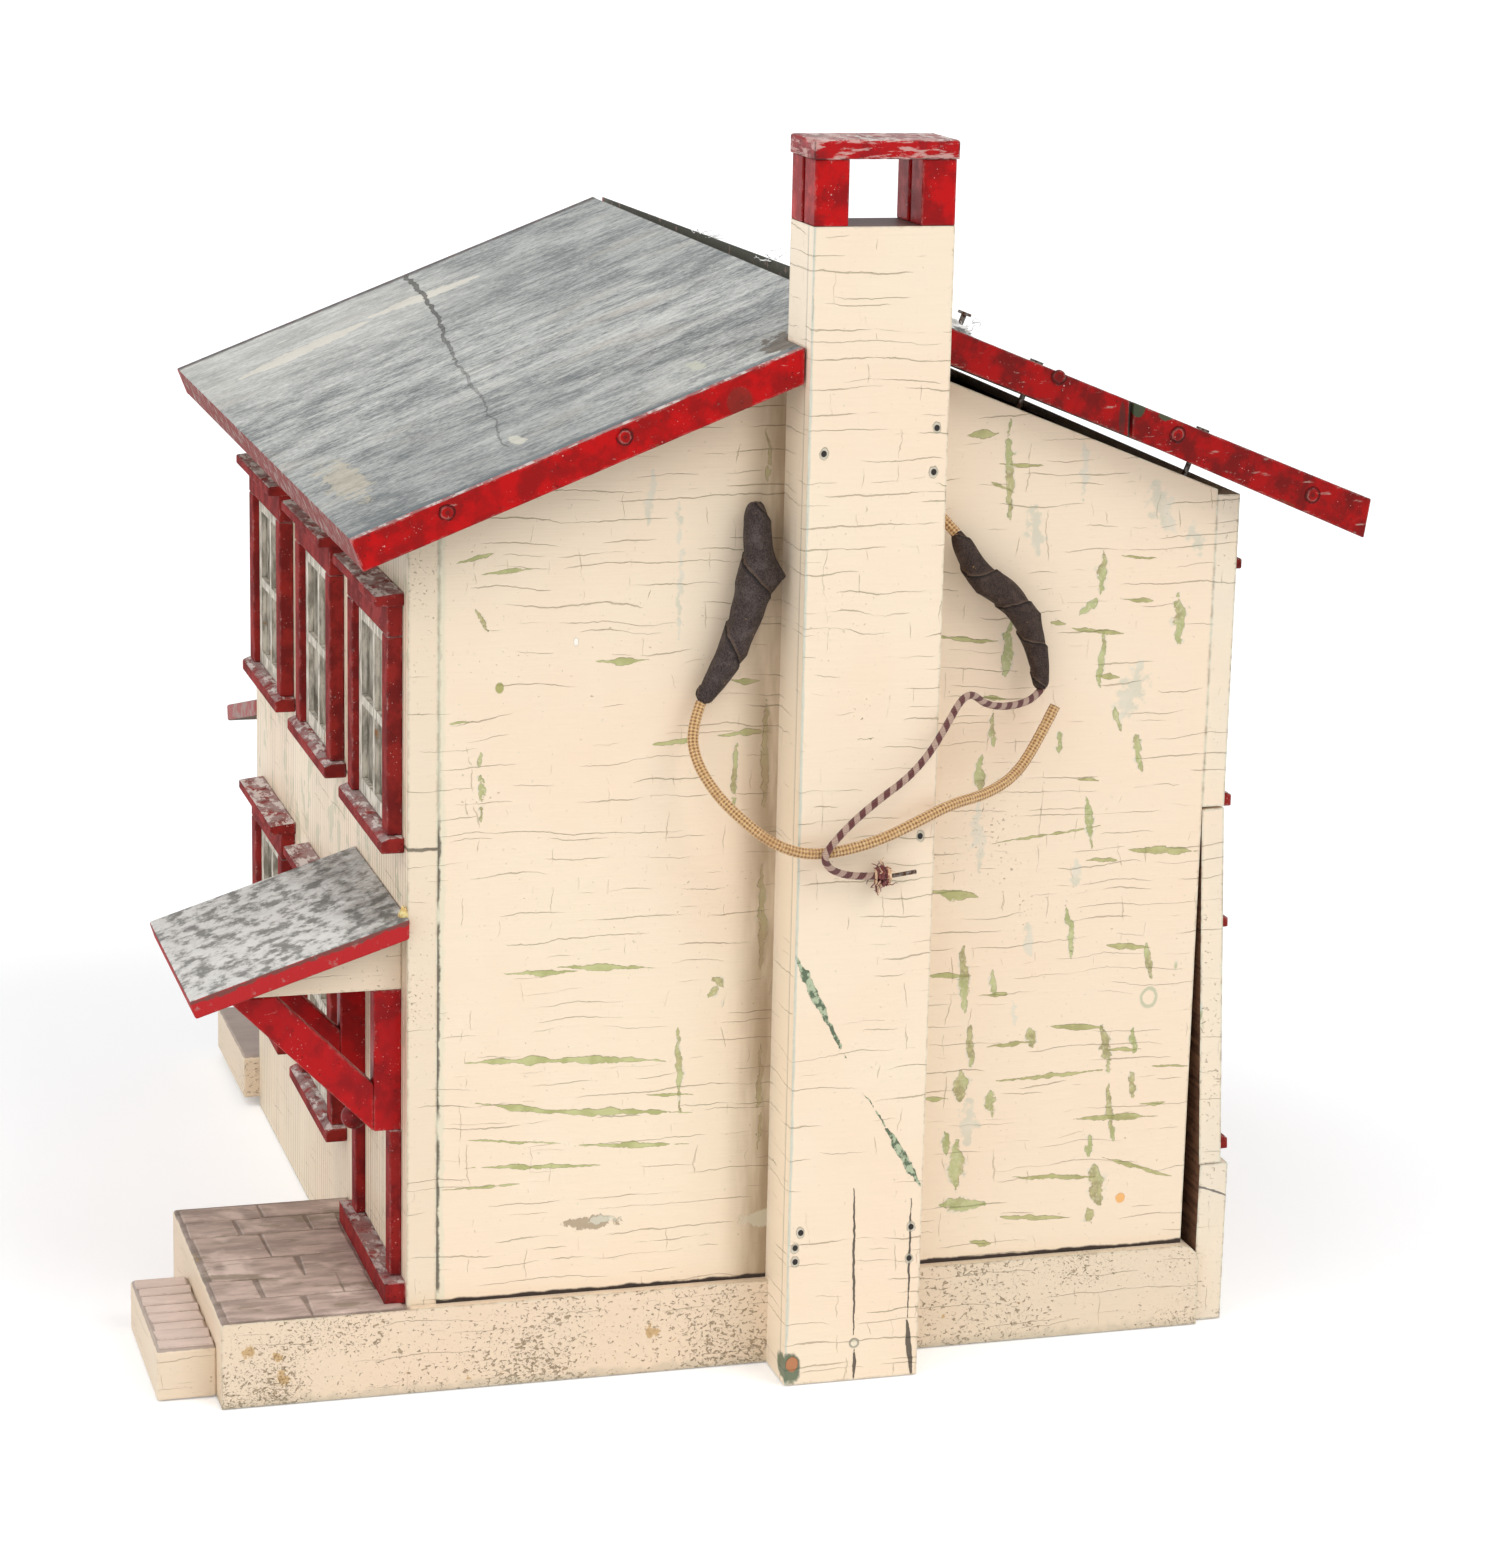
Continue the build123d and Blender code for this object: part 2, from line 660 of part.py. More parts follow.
def back_wall_upper():
    """Upper back board, left square at its top under the raised slope."""
    sheet = span((0, HOUSE_LENGTH), (BACK_SEAM_Z, roof_under(BACK_Y) - BACK_TOP_GAP))
    return BACK_WALL * board(BACK_T, sheet, row_holes(BACK_UPPER))


def back_wall_middle():
    """Lower back board, sprung away from the gables towards its foot."""
    sheet = span((0, HOUSE_LENGTH), (BACK_LOWER_SILL_Z, BACK_SEAM_Z - BACK_SEAM_GAP))
    return SPRUNG_WALL * board(BACK_T, sheet, row_holes(BACK_LOWER))


def back_plinth():
    y = BACK_Y + BEAM_TAIL
    return block((FAR_X, NEAR_X), (y, y + PLINTH_T), (0, PLINTH_H))


# Chimney
def chimney_piece(x):
    """Part of the shaft between two depths from the gable, cut round the proud beam."""
    shaft = block((NEAR_X + x[0], NEAR_X + x[1]), CHIMNEY_Y, (0, CHIMNEY_TOP_Z))
    return shaft - porch_beam() if x[0] < BEAM_PROUD else shaft


def pot_posts():
    x_middle = NEAR_X + CHIMNEY_DEPTH / 2
    corners = GridLocations(CHIMNEY_DEPTH - POST_W, CHIMNEY_W - POST_W, 2, 2)
    post = Box(POST_W, POST_W, POST_H, align=LOW_END)
    return group(Pos(x_middle, RIDGE_Y, CHIMNEY_TOP_Z) * corner * post for corner in corners)


def chimney_cap():
    slab = Box(CHIMNEY_DEPTH + 2 * CAP_LIP, CHIMNEY_W + 2 * CAP_LIP, CAP_T, align=LOW_END)
    slab = fillet(slab.faces().sort_by(Axis.Z)[-1].edges(), CAP_ROUND)
    return Pos(NEAR_X + CHIMNEY_DEPTH / 2, RIDGE_Y, CHIMNEY_TOP_Z + POST_H) * slab


# Roof slopes
def slope(side, x):
    """Length of roof board between two x values; side is -1 for the front slope, 1 for the back."""
    top = APEX_Z + ROOF_T / PITCH_COS
    eave = (RIDGE_Y + side * EAVE_RUN, top - EAVE_RUN * PITCH_TAN)
    eave_under = (eave[0] - side * ROOF_T * PITCH_SIN, eave[1] - ROOF_T * PITCH_COS)
    return along_house(((RIDGE_Y, APEX_Z), (RIDGE_Y, top), eave, eave_under), x)


def chimney_notch():
    """Room for the chimney and its pot in the roof's overhang."""
    x = (NEAR_X - CHIMNEY_GAP, NEAR_X + CHIMNEY_DEPTH + NEAR_OVERHANG)
    return block(x, (CHIMNEY_Y[0] - CHIMNEY_GAP, CHIMNEY_Y[1] + CHIMNEY_GAP), (0, POT_TOP_Z))


ROOF_X = (FAR_X - FAR_OVERHANG, NEAR_X + NEAR_OVERHANG)
LOOSE_X = (ROOF_X[0] - BACK_PANEL_SHIFT, ROOF_X[1] - BACK_PANEL_SHIFT)
NEAR_END_X = LOOSE_X[1] + RAKE_T
SEATED = Plane((NEAR_END_X, RIDGE_Y, APEX_Z), x_dir=(1, 0, 0), z_dir=LIFT_AXIS).location
LOOSE = SEATED * Pos(0, ROOF_SLIP, ROOF_LIFT) * Rot(0, -ROOF_TWIST, 0)
RAISED = LOOSE * SEATED.inverse()


def rake_ends(x):
    """Spans of the two trim strips on the ends of a roof board."""
    return (x[1], x[1] + RAKE_T), (x[0] - RAKE_T, x[0])


def front_roof_panel():
    return slope(-1, ROOF_X) - chimney_notch()


def front_rake_strips():
    near, far = rake_ends(ROOF_X)
    return group([slope(-1, near) - chimney_notch(), slope(-1, far)])


def nail_line(x, run, low, high, radius):
    """Round shank or hole square to the loose slope, between two heights over its underside."""
    place = Pos(x - NEAR_END_X, run / PITCH_COS - ROOF_SLIP, low)
    return LOOSE * place * Cylinder(radius, high - low, align=LOW_END)


NAIL_XS = (NEAR_X - GABLE_T / 2, FAR_X + GABLE_T / 2)


def back_roof_panel():
    """Loose slope, let in round the chimney and drilled by its own nails."""
    panel = RAISED * slope(1, LOOSE_X) - chimney_notch()
    for x in NAIL_XS:
        for run in NAIL_RUNS:
            panel -= nail_line(x, run, 0, ROOF_T, NAIL_R)
    return panel


def near_strip():
    """Whole trim strip on the near end of the loose slope."""
    near, far = rake_ends(LOOSE_X)
    return RAISED * slope(1, near) - chimney_notch()


def back_rake_upper():
    near, far = rake_ends(LOOSE_X)
    keep = block(near, (RIDGE_Y, RIDGE_Y + RAKE_JOINT), (0, 2 * APEX_Z))
    return near_strip() & (Pos(-RAKE_T, 0, 0) * keep + keep)


def back_rake_lower():
    """Lower length of the near trim, a board cut almost plumb past the eave and a little deeper there."""
    near, far = rake_ends(LOOSE_X)
    top = APEX_Z + ROOF_T / PITCH_COS
    joint_y = RIDGE_Y + RAKE_JOINT - ROOF_SLIP
    run = EAVE_RUN + RAKE_REACH
    tail = (RIDGE_Y + run, top - run * PITCH_TAN)
    outline = (
        (joint_y, top - (joint_y - RIDGE_Y) * PITCH_TAN),
        tail,
        (tail[0] - RAKE_END_LEAN, tail[1] - RAKE_END_DROP),
        (joint_y, roof_under(joint_y)),
    )
    return RAISED * along_house(outline, near)


def back_rake_far():
    near, far = rake_ends(LOOSE_X)
    return RAISED * slope(1, far)


def roof_nail(x, run, standing):
    """Wire nail through the loose slope into the gable, its head so far above the board."""
    tip = standing / 2 - NAIL_BITE - ROOF_LIFT
    head = ROOF_T + standing
    shank = nail_line(x, run, tip, head, NAIL_R)
    return shank + nail_line(x, run, head, head + NAIL_HEAD_T, NAIL_HEAD_R)


def roof_nails():
    nails = []
    for x in NAIL_XS:
        for run in NAIL_RUNS:
            pulled = x == NAIL_XS[0] and run == NAIL_RUNS[0]
            nails.append(roof_nail(x, run, PULLED_NAIL if pulled else 0))
    return group(nails)


# Lamp and leads
LAMP_FACE_X = NEAR_X - GABLE_T
LAMP_Y = MID_Y + (LEFT_LEAD[0] + RIGHT_LEAD[0]) / 2
LAMP_AXIS = Plane((LAMP_FACE_X - LAMP_BLOCK_T, LAMP_Y, LAMP_Z), z_dir=(-1, 0, 0)).location


def lead_bore(y, z):
    return pin((LAMP_FACE_X, MID_Y + y, z), (-1, 0, 0), CORD_R, LAMP_BLOCK_T)


def lamp_block():
    """Wood block on the gable that carries the lamp holder and the lead ends."""
    y = (LAMP_Y - LAMP_BLOCK_W / 2, LAMP_Y + LAMP_BLOCK_W / 2)
    z = (LAMP_Z - LAMP_BLOCK_H / 2, LAMP_Z + LAMP_BLOCK_H / 2)
    wood = block((LAMP_FACE_X - LAMP_BLOCK_T, LAMP_FACE_X), y, z)
    return wood - lead_bore(*LEFT_LEAD) - lead_bore(*RIGHT_LEAD)


def lamp_holder():
    """Turned socket with a flange and a bore for the bulb's base."""
    section = Polygon(
        (0, 0),
        (HOLDER_FLANGE_R, 0),
        (HOLDER_FLANGE_R, HOLDER_FLANGE_T),
        (HOLDER_R, 2 * HOLDER_FLANGE_T),
        (HOLDER_R, HOLDER_L),
        (HOLDER_BORE_R, HOLDER_L),
        (HOLDER_BORE_R, 2 * HOLDER_FLANGE_T),
        (0, 2 * HOLDER_FLANGE_T),
        align=None,
    )
    return LAMP_AXIS * revolve(Plane.XZ * section, Axis.Z)


def lamp_bulb():
    """Small torpedo bulb: straight base in the holder and a tapered glass."""
    start = 2 * HOLDER_FLANGE_T
    section = Polygon(
        (0, start),
        (BULB_BASE_R, start),
        (BULB_BASE_R, HOLDER_L + HOLDER_FLANGE_T),
        (BULB_R, HOLDER_L + BULB_L / 3),
        (BULB_R, HOLDER_L + BULB_L / 2),
        (BULB_BASE_R, start + BULB_L),
        (0, start + BULB_L),
        align=None,
    )
    return LAMP_AXIS * revolve(Plane.XZ * section, Axis.Z)


def terminal_screws():
    """Brass heads that clamp the lead ends on the block's inner face."""
    x = LAMP_FACE_X - LAMP_BLOCK_T
    for y, z in (LEFT_LEAD, RIGHT_LEAD):
        yield pin((x, MID_Y + y, z), (-1, 0, 0), TERMINAL_R, TERMINAL_T)


def at_gable(point):
    """Place of a point given out from the chimney gable, along it and up."""
    return Vector(NEAR_X + point[0], MID_Y + point[1], point[2])


def tube(route, radius):
    """Round lead along straight runs joined by arcs as large as the runs allow."""
    points = [at_gable(point) for point in route]
    radii = []
    for before, corner, after in zip(points, points[1:], points[2:]):
        run_in = corner - before
        run_out = after - corner
        half_turn = radians(run_in.get_angle(run_out)) / 2
        radii.append(0.45 * min(run_in.length, run_out.length) / tan(half_turn))
    path = FilletPolyline(*points, radius=radii)
    start = Plane(points[0], z_dir=points[1] - points[0])
    solid = sweep(start * Circle(radius), path=path)
    true_volume = Circle(radius).area * path.length
    print("bend radii", [round(bend, 1) for bend in radii])
    print("length", round(path.length, 1), "volume ratio", round(solid.volume / true_volume, 4))
    return solid


def tape_wrap(stations):
    """Cloth tape bound over a joint: round sections that swell and taper along the lead."""
    places = [at_gable(station) for station in stations]
    sections = []
    for index, station in enumerate(stations):
        ahead = places[min(index + 1, len(places) - 1)]
        behind = places[max(index - 1, 0)]
        sections.append(Plane(places[index], z_dir=ahead - behind) * Circle(station[3]))
    return loft(sections, ruled=True)


def left_lead():
    """Lead end from the block through the gable into the left wrap."""
    start = LAMP_FACE_X - LAMP_BLOCK_T
    length = GABLE_T + LAMP_BLOCK_T + LEFT_WRAP[1][0]
    return pin((start, MID_Y + LEFT_LEAD[0], LEFT_LEAD[1]), (1, 0, 0), CORD_R, length)


def right_lead():
    """Lead end from the block through the gable, bent past the chimney into the right wrap."""
    start = (-GABLE_T - LAMP_BLOCK_T,) + RIGHT_LEAD
    bend = (RIGHT_WRAP[0][0] / 2,) + RIGHT_LEAD
    return tube((start, bend, RIGHT_WRAP[0][:3]), CORD_R)


def frayed_knot():
    """Loose knot of cut strands at the end of the striped wire."""
    return Pos(at_gable(STRIPED_ROUTE[-1])) * Sphere(KNOT_R)


def side_by_side(place, make):
    return group(place * piece for piece in make())


LEFT_LEAD_TUBE = left_lead()
RIGHT_LEAD_TUBE = right_lead()
TAN_CORD = tube(TAN_ROUTE, CORD_R)
STRIPED_WIRE = tube(STRIPED_ROUTE, WIRE_R)
BARE_WIRE = tube(BARE_END, BARE_WIRE_R)

NODES = {
    "porch_beam": porch_beam(),
    "far_beam": far_beam(),
    "porch_step": porch_step(),
    "side_stoop": side_stoop(),
    "ground_floor": floor(BASE_H),
    "upper_floor": floor(UPPER_FLOOR_Z),
    "chimney_gable": chimney_gable(),
    "far_gable": far_gable(),
    "front_wall_lower": front_wall_lower(),
    "front_wall_upper": front_wall_upper(),
    "back_wall_upper": back_wall_upper(),
    "back_wall_middle": back_wall_middle(),
    "back_plinth": back_plinth(),
    "chimney_core": chimney_piece((0, CHIMNEY_DEPTH - CHIMNEY_FRONT_T)),
    "chimney_front": chimney_piece((CHIMNEY_DEPTH - CHIMNEY_FRONT_T, CHIMNEY_DEPTH)),
    "pot_posts": pot_posts(),
    "chimney_cap": chimney_cap(),
    "front_roof_panel": front_roof_panel(),
    "front_rake_strips": front_rake_strips(),
    "back_roof_panel": back_roof_panel(),
    "back_rake_upper": back_rake_upper(),
    "back_rake_lower": back_rake_lower(),
    "back_rake_far": back_rake_far(),
    "roof_nails": roof_nails(),
    "window_sills": every_window(window_sill),
    "window_jambs": every_window(window_jambs),
    "window_lintels": every_window(window_lintel),
    "window_caps": every_window(window_cap),
    "window_sashes": every_window(window_sash),
    "window_panes": every_window(window_pane),
    "front_hood_roof": FRONT_DOOR * hood_roof(FRONT_HOOD),
    "side_hood_roof": SIDE_DOOR * hood_roof(SIDE_HOOD),
    "hood_cheeks": both_cheeks(),
    "bracket_legs": at_both_doors(bracket_legs),
    "bracket_braces": at_both_doors(bracket_braces),
    "front_door_jambs": side_by_side(FRONT_DOOR, door_jambs),
    "front_door_lintel": FRONT_DOOR * door_lintel(),
    "front_threshold": FRONT_DOOR * door_threshold(FRONT_T),
    "front_door_leaf": FRONT_DOOR * door_leaf(),
    "front_door_pivots": side_by_side(FRONT_DOOR, door_pivots),
    "front_door_knob": FRONT_DOOR * door_knob(),
    "side_door_jambs": side_by_side(SIDE_DOOR, door_jambs),
    "side_door_lintel": SIDE_DOOR * door_lintel(),
    "side_threshold": SIDE_DOOR * door_threshold(GABLE_T),
    "side_door_leaf": SIDE_DOOR * door_leaf(),
    "side_door_pivots": side_by_side(SIDE_DOOR, door_pivots),
    "side_door_knob": SIDE_DOOR * door_knob(),
    "lamp_block": lamp_block(),
    "lamp_holder": lamp_holder(),
    "lamp_bulb": lamp_bulb(),
    "terminal_screws": group(terminal_screws()),
    "left_lead": LEFT_LEAD_TUBE,
    "right_lead": RIGHT_LEAD_TUBE,
    "left_tape_wrap": tape_wrap(LEFT_WRAP) - LEFT_LEAD_TUBE - TAN_CORD,
    "right_tape_wrap": tape_wrap(RIGHT_WRAP) - RIGHT_LEAD_TUBE - STRIPED_WIRE,
    "tan_cord": TAN_CORD,
    "striped_wire": STRIPED_WIRE,
    "frayed_knot": frayed_knot() - STRIPED_WIRE - BARE_WIRE,
    "bare_wire_end": BARE_WIRE,
}

os.makedirs("parts", exist_ok=True)
for name, shape in NODES.items():
    export_step(shape, f"parts/{name}.step")
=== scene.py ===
import math
import random

import bmesh
import bpy
from mathutils import Matrix, Vector, noise as lumps


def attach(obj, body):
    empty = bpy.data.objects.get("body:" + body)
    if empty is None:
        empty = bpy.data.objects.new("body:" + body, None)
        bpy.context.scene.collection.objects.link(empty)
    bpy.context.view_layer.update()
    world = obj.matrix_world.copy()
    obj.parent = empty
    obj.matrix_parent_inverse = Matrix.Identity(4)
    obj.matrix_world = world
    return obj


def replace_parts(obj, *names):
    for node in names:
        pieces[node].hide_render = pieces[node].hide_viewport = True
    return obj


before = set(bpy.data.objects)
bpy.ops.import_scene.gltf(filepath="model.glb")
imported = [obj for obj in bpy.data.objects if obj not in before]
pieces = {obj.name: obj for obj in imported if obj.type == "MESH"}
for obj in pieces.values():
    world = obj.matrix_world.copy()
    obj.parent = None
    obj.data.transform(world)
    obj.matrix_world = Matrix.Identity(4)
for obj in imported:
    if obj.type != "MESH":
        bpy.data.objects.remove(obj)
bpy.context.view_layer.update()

scene = bpy.context.scene


# Studio. A white table top that runs out of sight, one broad soft lamp high on the right, a weaker one on the
# left and an even white surround. The table takes only the soft shadow of the house.
scene.view_settings.view_transform = "Standard"


def soft_lamp(name, towards, spread, strength):
    """Broad lamp far off in one direction, seen from the house."""
    lamp = bpy.data.lights.new(name, "SUN")
    lamp.energy = strength
    lamp.angle = math.radians(spread)
    holder = bpy.data.objects.new(name, lamp)
    holder.rotation_euler = Vector(towards).to_track_quat("Z", "Y").to_euler()
    scene.collection.objects.link(holder)


soft_lamp("lamp_right", towards=(0.70, 0.52, 0.85), spread=36, strength=1.14)
soft_lamp("lamp_left", towards=(0.26, -0.86, 0.55), spread=110, strength=1.76)

surround = bpy.data.worlds.new("white_surround")
surround.use_nodes = True
scene.world = surround
sky = surround.node_tree
sky_seen = sky.nodes.new("ShaderNodeLightPath")
sky_white = sky.nodes.new("ShaderNodeBackground")
sky_white.inputs["Color"].default_value = (1, 1, 1, 1)
sky_glow = sky.nodes["Background"]
sky_glow.inputs["Color"].default_value = (0.95, 0.97, 1.0, 1)
sky_glow.inputs["Strength"].default_value = 0.56
sky_any = sky.nodes.new("ShaderNodeMath")
sky_any.operation = "MAXIMUM"
sky_pick = sky.nodes.new("ShaderNodeMixShader")
for source, target in (
    (sky_seen.outputs["Is Camera Ray"], sky_any.inputs[0]),
    (sky_seen.outputs["Is Transmission Ray"], sky_any.inputs[1]),
    (sky_any.outputs[0], sky_pick.inputs[0]),
    (sky_glow.outputs[0], sky_pick.inputs[1]),
    (sky_white.outputs[0], sky_pick.inputs[2]),
    (sky_pick.outputs[0], sky.nodes["World Output"].inputs["Surface"]),
):
    sky.links.new(source, target)

table_mesh = bpy.data.meshes.new("table_top")
TABLE_HALF, TABLE_Z = 14, -0.0004
table_corners = [
    (x * TABLE_HALF, y * TABLE_HALF, TABLE_Z) for x, y in ((-1, -1), (1, -1), (1, 1), (-1, 1))
]
table_mesh.from_pydata(table_corners, [], [(0, 1, 2, 3)])
table_top = bpy.data.objects.new("table_top", table_mesh)
scene.collection.objects.link(table_top)
table_white = bpy.data.materials.new("white_table")
table_white.use_nodes = True
table = table_white.node_tree
table.nodes.remove(table.nodes["Principled BSDF"])
table_board = table.nodes.new("ShaderNodeBsdfDiffuse")
table_board.inputs["Color"].default_value = (0.90, 0.90, 0.90, 1)
table_seen = table.nodes.new("ShaderNodeLightPath")
table_lift = table.nodes.new("ShaderNodeEmission")
table_share = table.nodes.new("ShaderNodeMath")
table_share.operation = "MULTIPLY"
table_share.inputs[1].default_value = 0.21
table_sum = table.nodes.new("ShaderNodeAddShader")
for source, target in (
    (table_seen.outputs["Is Camera Ray"], table_share.inputs[0]),
    (table_share.outputs[0], table_lift.inputs["Strength"]),
    (table_board.outputs[0], table_sum.inputs[0]),
    (table_lift.outputs[0], table_sum.inputs[1]),
    (table_sum.outputs[0], table.nodes["Material Output"].inputs["Surface"]),
):
    table.links.new(source, target)
table_mesh.materials.append(table_white)

camera = bpy.data.objects.new("camera", bpy.data.cameras.new("camera"))
FILM = 36
FOCAL_PIXELS = 4007.96
PHOTO_HEIGHT_PIXELS = 1546
camera.data.lens = FOCAL_PIXELS * FILM / PHOTO_HEIGHT_PIXELS
camera.data.sensor_width = FILM
camera.data.clip_end = 60
camera_right = Vector((0.27514, 0.96115, 0.02201))
camera_up = Vector((-0.23450, 0.04489, 0.97108))
camera_back = Vector((0.93237, -0.27234, 0.23774))
camera.matrix_world = Matrix.Translation((1.217192, -0.317006, 0.450440)) @ Matrix(
    (camera_right, camera_up, camera_back)
).transposed().to_4x4()
scene.collection.objects.link(camera)
scene.camera = camera


# Beams, porch step and stoop: sawn timber under the house. Their sides carry the cream house paint, which has
# shrunk into pits over the rough grain; the tops people tread on are painted as mauve flagstones.
def colour(red, green, blue):
    """Paint colour as mixed, 0 to 255, as the shaders take it."""
    shares = (red / 255, green / 255, blue / 255)
    return tuple(c / 12.92 if c <= 0.04045 else ((c + 0.055) / 1.055) ** 2.4 for c in shares) + (1.0,)


class Pot:
    """A finish being mixed: each call stirs in one node and hands back what it puts out."""

    def __init__(self, tree):
        self.tree = tree

    def feed(self, socket, value):
        if isinstance(value, bpy.types.NodeSocket):
            self.tree.links.new(value, socket)
        else:
            socket.default_value = value

    def put(self, kind, feeds=(), out=0, **settings):
        node = self.tree.nodes.new(kind)
        for name, value in settings.items():
            setattr(node, name, value)
        for socket, value in feeds:
            self.feed(node.inputs[socket], value)
        return node.outputs[out]

    def math(self, operation, a, b=0.0):
        return self.put("ShaderNodeMath", ((0, a), (1, b)), operation=operation)

    def times(self, a, b):
        return self.math("MULTIPLY", a, b)

    def plus(self, a, b):
        return self.math("ADD", a, b)

    def less(self, a, b):
        return self.math("SUBTRACT", a, b)

    def most(self, a, b):
        return self.math("MAXIMUM", a, b)

    def vector(self, operation, a, b=(0.0, 0.0, 0.0), out=0):
        return self.put("ShaderNodeVectorMath", ((0, a), (1, b)), operation=operation, out=out)

    def scaled(self, place, x, y, z):
        return self.vector("MULTIPLY", place, (x, y, z))

    def axis(self, place, name):
        return self.put("ShaderNodeSeparateXYZ", ((0, place),), out=name)

    def facing(self, name):
        """How far the surface faces along one axis, -1 to 1."""
        return self.axis(self.put("ShaderNodeNewGeometry", out="Normal"), name)

    def noise(self, place, scale=1.0, detail=2.0, roughness=0.5, distortion=0.0, out=0):
        feeds = (("Vector", place), ("Scale", scale), ("Detail", detail), ("Roughness", roughness),
                 ("Distortion", distortion))
        return self.put("ShaderNodeTexNoise", feeds, out=out)

    def cells(self, place, scale):
        return self.put("ShaderNodeTexVoronoi", (("Vector", place), ("Scale", scale)), out="Distance")

    def step(self, value, low, high, first=0.0, last=1.0):
        feeds = (("Value", value), ("From Min", low), ("From Max", high), ("To Min", first), ("To Max", last))
        return self.put("ShaderNodeMapRange", feeds, interpolation_type="SMOOTHSTEP")

    def mix(self, share, first, second):
        return self.put("ShaderNodeMix", ((0, share), (6, first), (7, second)), out=2, data_type="RGBA")

    def patches(self, place, low, high, *grain):
        """Mask of uneven patches: noise of the given grain, cut between two levels."""
        return self.step(self.noise(place, *grain), low, high)

    def jitter(self, place, amount, *grain):
        """Uneven shift, up to about half the amount either way."""
        return self.times(self.less(self.noise(place, *grain), 0.5), amount)

    def over(self, under, paint, mask, strength):
        """One colour laid over another, as far as the mask and its strength let it."""
        return self.mix(self.times(mask, strength), under, paint)

    def use(self, group, **feeds):
        node = self.tree.nodes.new("ShaderNodeGroup")
        node.node_tree = group
        for name, value in feeds.items():
            self.feed(node.inputs[name], value)
        return node.outputs


def effect(name, takes, gives):
    """An effect shared by several finishes: its node group, what goes in, what comes out and the pot."""
    group = bpy.data.node_groups.new(name, "ShaderNodeTree")
    for label, kind in takes:
        group.interface.new_socket(label, in_out="INPUT", socket_type="NodeSocket" + kind)
    for label, kind in gives:
        group.interface.new_socket(label, in_out="OUTPUT", socket_type="NodeSocket" + kind)
    pot = Pot(group)
    taken = group.nodes.new("NodeGroupInput").outputs
    given = group.nodes.new("NodeGroupOutput").inputs
    return group, pot, taken, given


def finish(name, **constants):
    """A new finish: its material, its pot, the place on the piece in metres and the shader it feeds."""
    material = bpy.data.materials.new(name)
    material.use_nodes = True
    shader = material.node_tree.nodes["Principled BSDF"]
    for socket, value in constants.items():
        shader.inputs[socket.replace("_", " ")].default_value = value
    pot = Pot(material.node_tree)
    return material, pot, pot.put("ShaderNodeTexCoord", out="Object"), shader


def lay_on(pot, shader, tint, roughness, height=None, depth=0.0004):
    """Brings the mixed colour, gloss and relief to the shader."""
    pot.feed(shader.inputs["Base Color"], tint)
    pot.feed(shader.inputs["Roughness"], roughness)
    if height is not None:
        feeds = (("Strength", 1.0), ("Distance", depth), ("Height", height))
        pot.feed(shader.inputs["Normal"], pot.put("ShaderNodeBump", feeds))


def dress(material, *names):
    """Paints carried-over pieces with a finish."""
    for name in names:
        mesh = pieces[name].data
        mesh.materials.clear()
        mesh.materials.append(material)


def soften(width, *names):
    """Takes the sharp arris off sawn pieces."""
    for name in names:
        joined = pieces[name].modifiers.new("one_skin", "WELD")
        joined.merge_threshold = 0.000002
        flat = pieces[name].modifiers.new("one_face", "DECIMATE")
        flat.decimate_type = "DISSOLVE"
        flat.angle_limit = math.radians(1.5)
        arris = pieces[name].modifiers.new("soft_arris", "BEVEL")
        arris.width = width
        arris.segments = 2
        arris.limit_method = "ANGLE"
        arris.angle_limit = math.radians(40)


def new_piece(name, bm, material, body):
    """A modelled piece from its mesh, painted, riding on its body."""
    mesh = bpy.data.meshes.new(name)
    bm.to_mesh(mesh)
    bm.free()
    mesh.materials.append(material)
    piece = bpy.data.objects.new(name, mesh)
    scene.collection.objects.link(piece)
    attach(piece, body)
    return piece


# Bare edges: where two faces meet, handling has rubbed the paint away in a ragged line.
worn_edges, pot, taken, given = effect(
    "worn_edges", (("Place", "Vector"), ("Reach", "Float"), ("Amount", "Float")), (("Wear", "Float"),)
)
rounded = pot.put("ShaderNodeBevel", (("Radius", taken["Reach"]),), samples=6)
facing = pot.put("ShaderNodeNewGeometry", out="Normal")
turned = pot.less(1.0, pot.vector("DOT_PRODUCT", rounded, facing, out="Value"))
ragged = pot.noise(taken["Place"], 700.0, 4.0, 0.65)
turned = pot.plus(turned, pot.times(pot.less(ragged, 0.575), 0.5))
pot.feed(given["Wear"], pot.times(pot.step(turned, 0.03, 0.11), taken["Amount"]))

# Pits: short worm-like hollows where the paint shrank into open grain, thick in some places and absent in
# others.
pitted, pot, taken, given = effect(
    "pitted_paint", (("Place", "Vector"), ("Size", "Float"), ("Amount", "Float")), (("Pits", "Float"),)
)
grain = pot.noise(pot.vector("MULTIPLY", taken["Place"], (1.0, 0.8, 1.15)), taken["Size"], 2.5, 0.6, 0.6)
where = pot.noise(taken["Place"], 24.0, 2.0, 0.5)
level = pot.plus(grain, pot.times(pot.less(where, 0.5), 0.42))
level = pot.plus(level, pot.times(pot.less(taken["Amount"], 1.0), 0.2))
pot.feed(given["Pits"], pot.step(level, 0.585, 0.64))

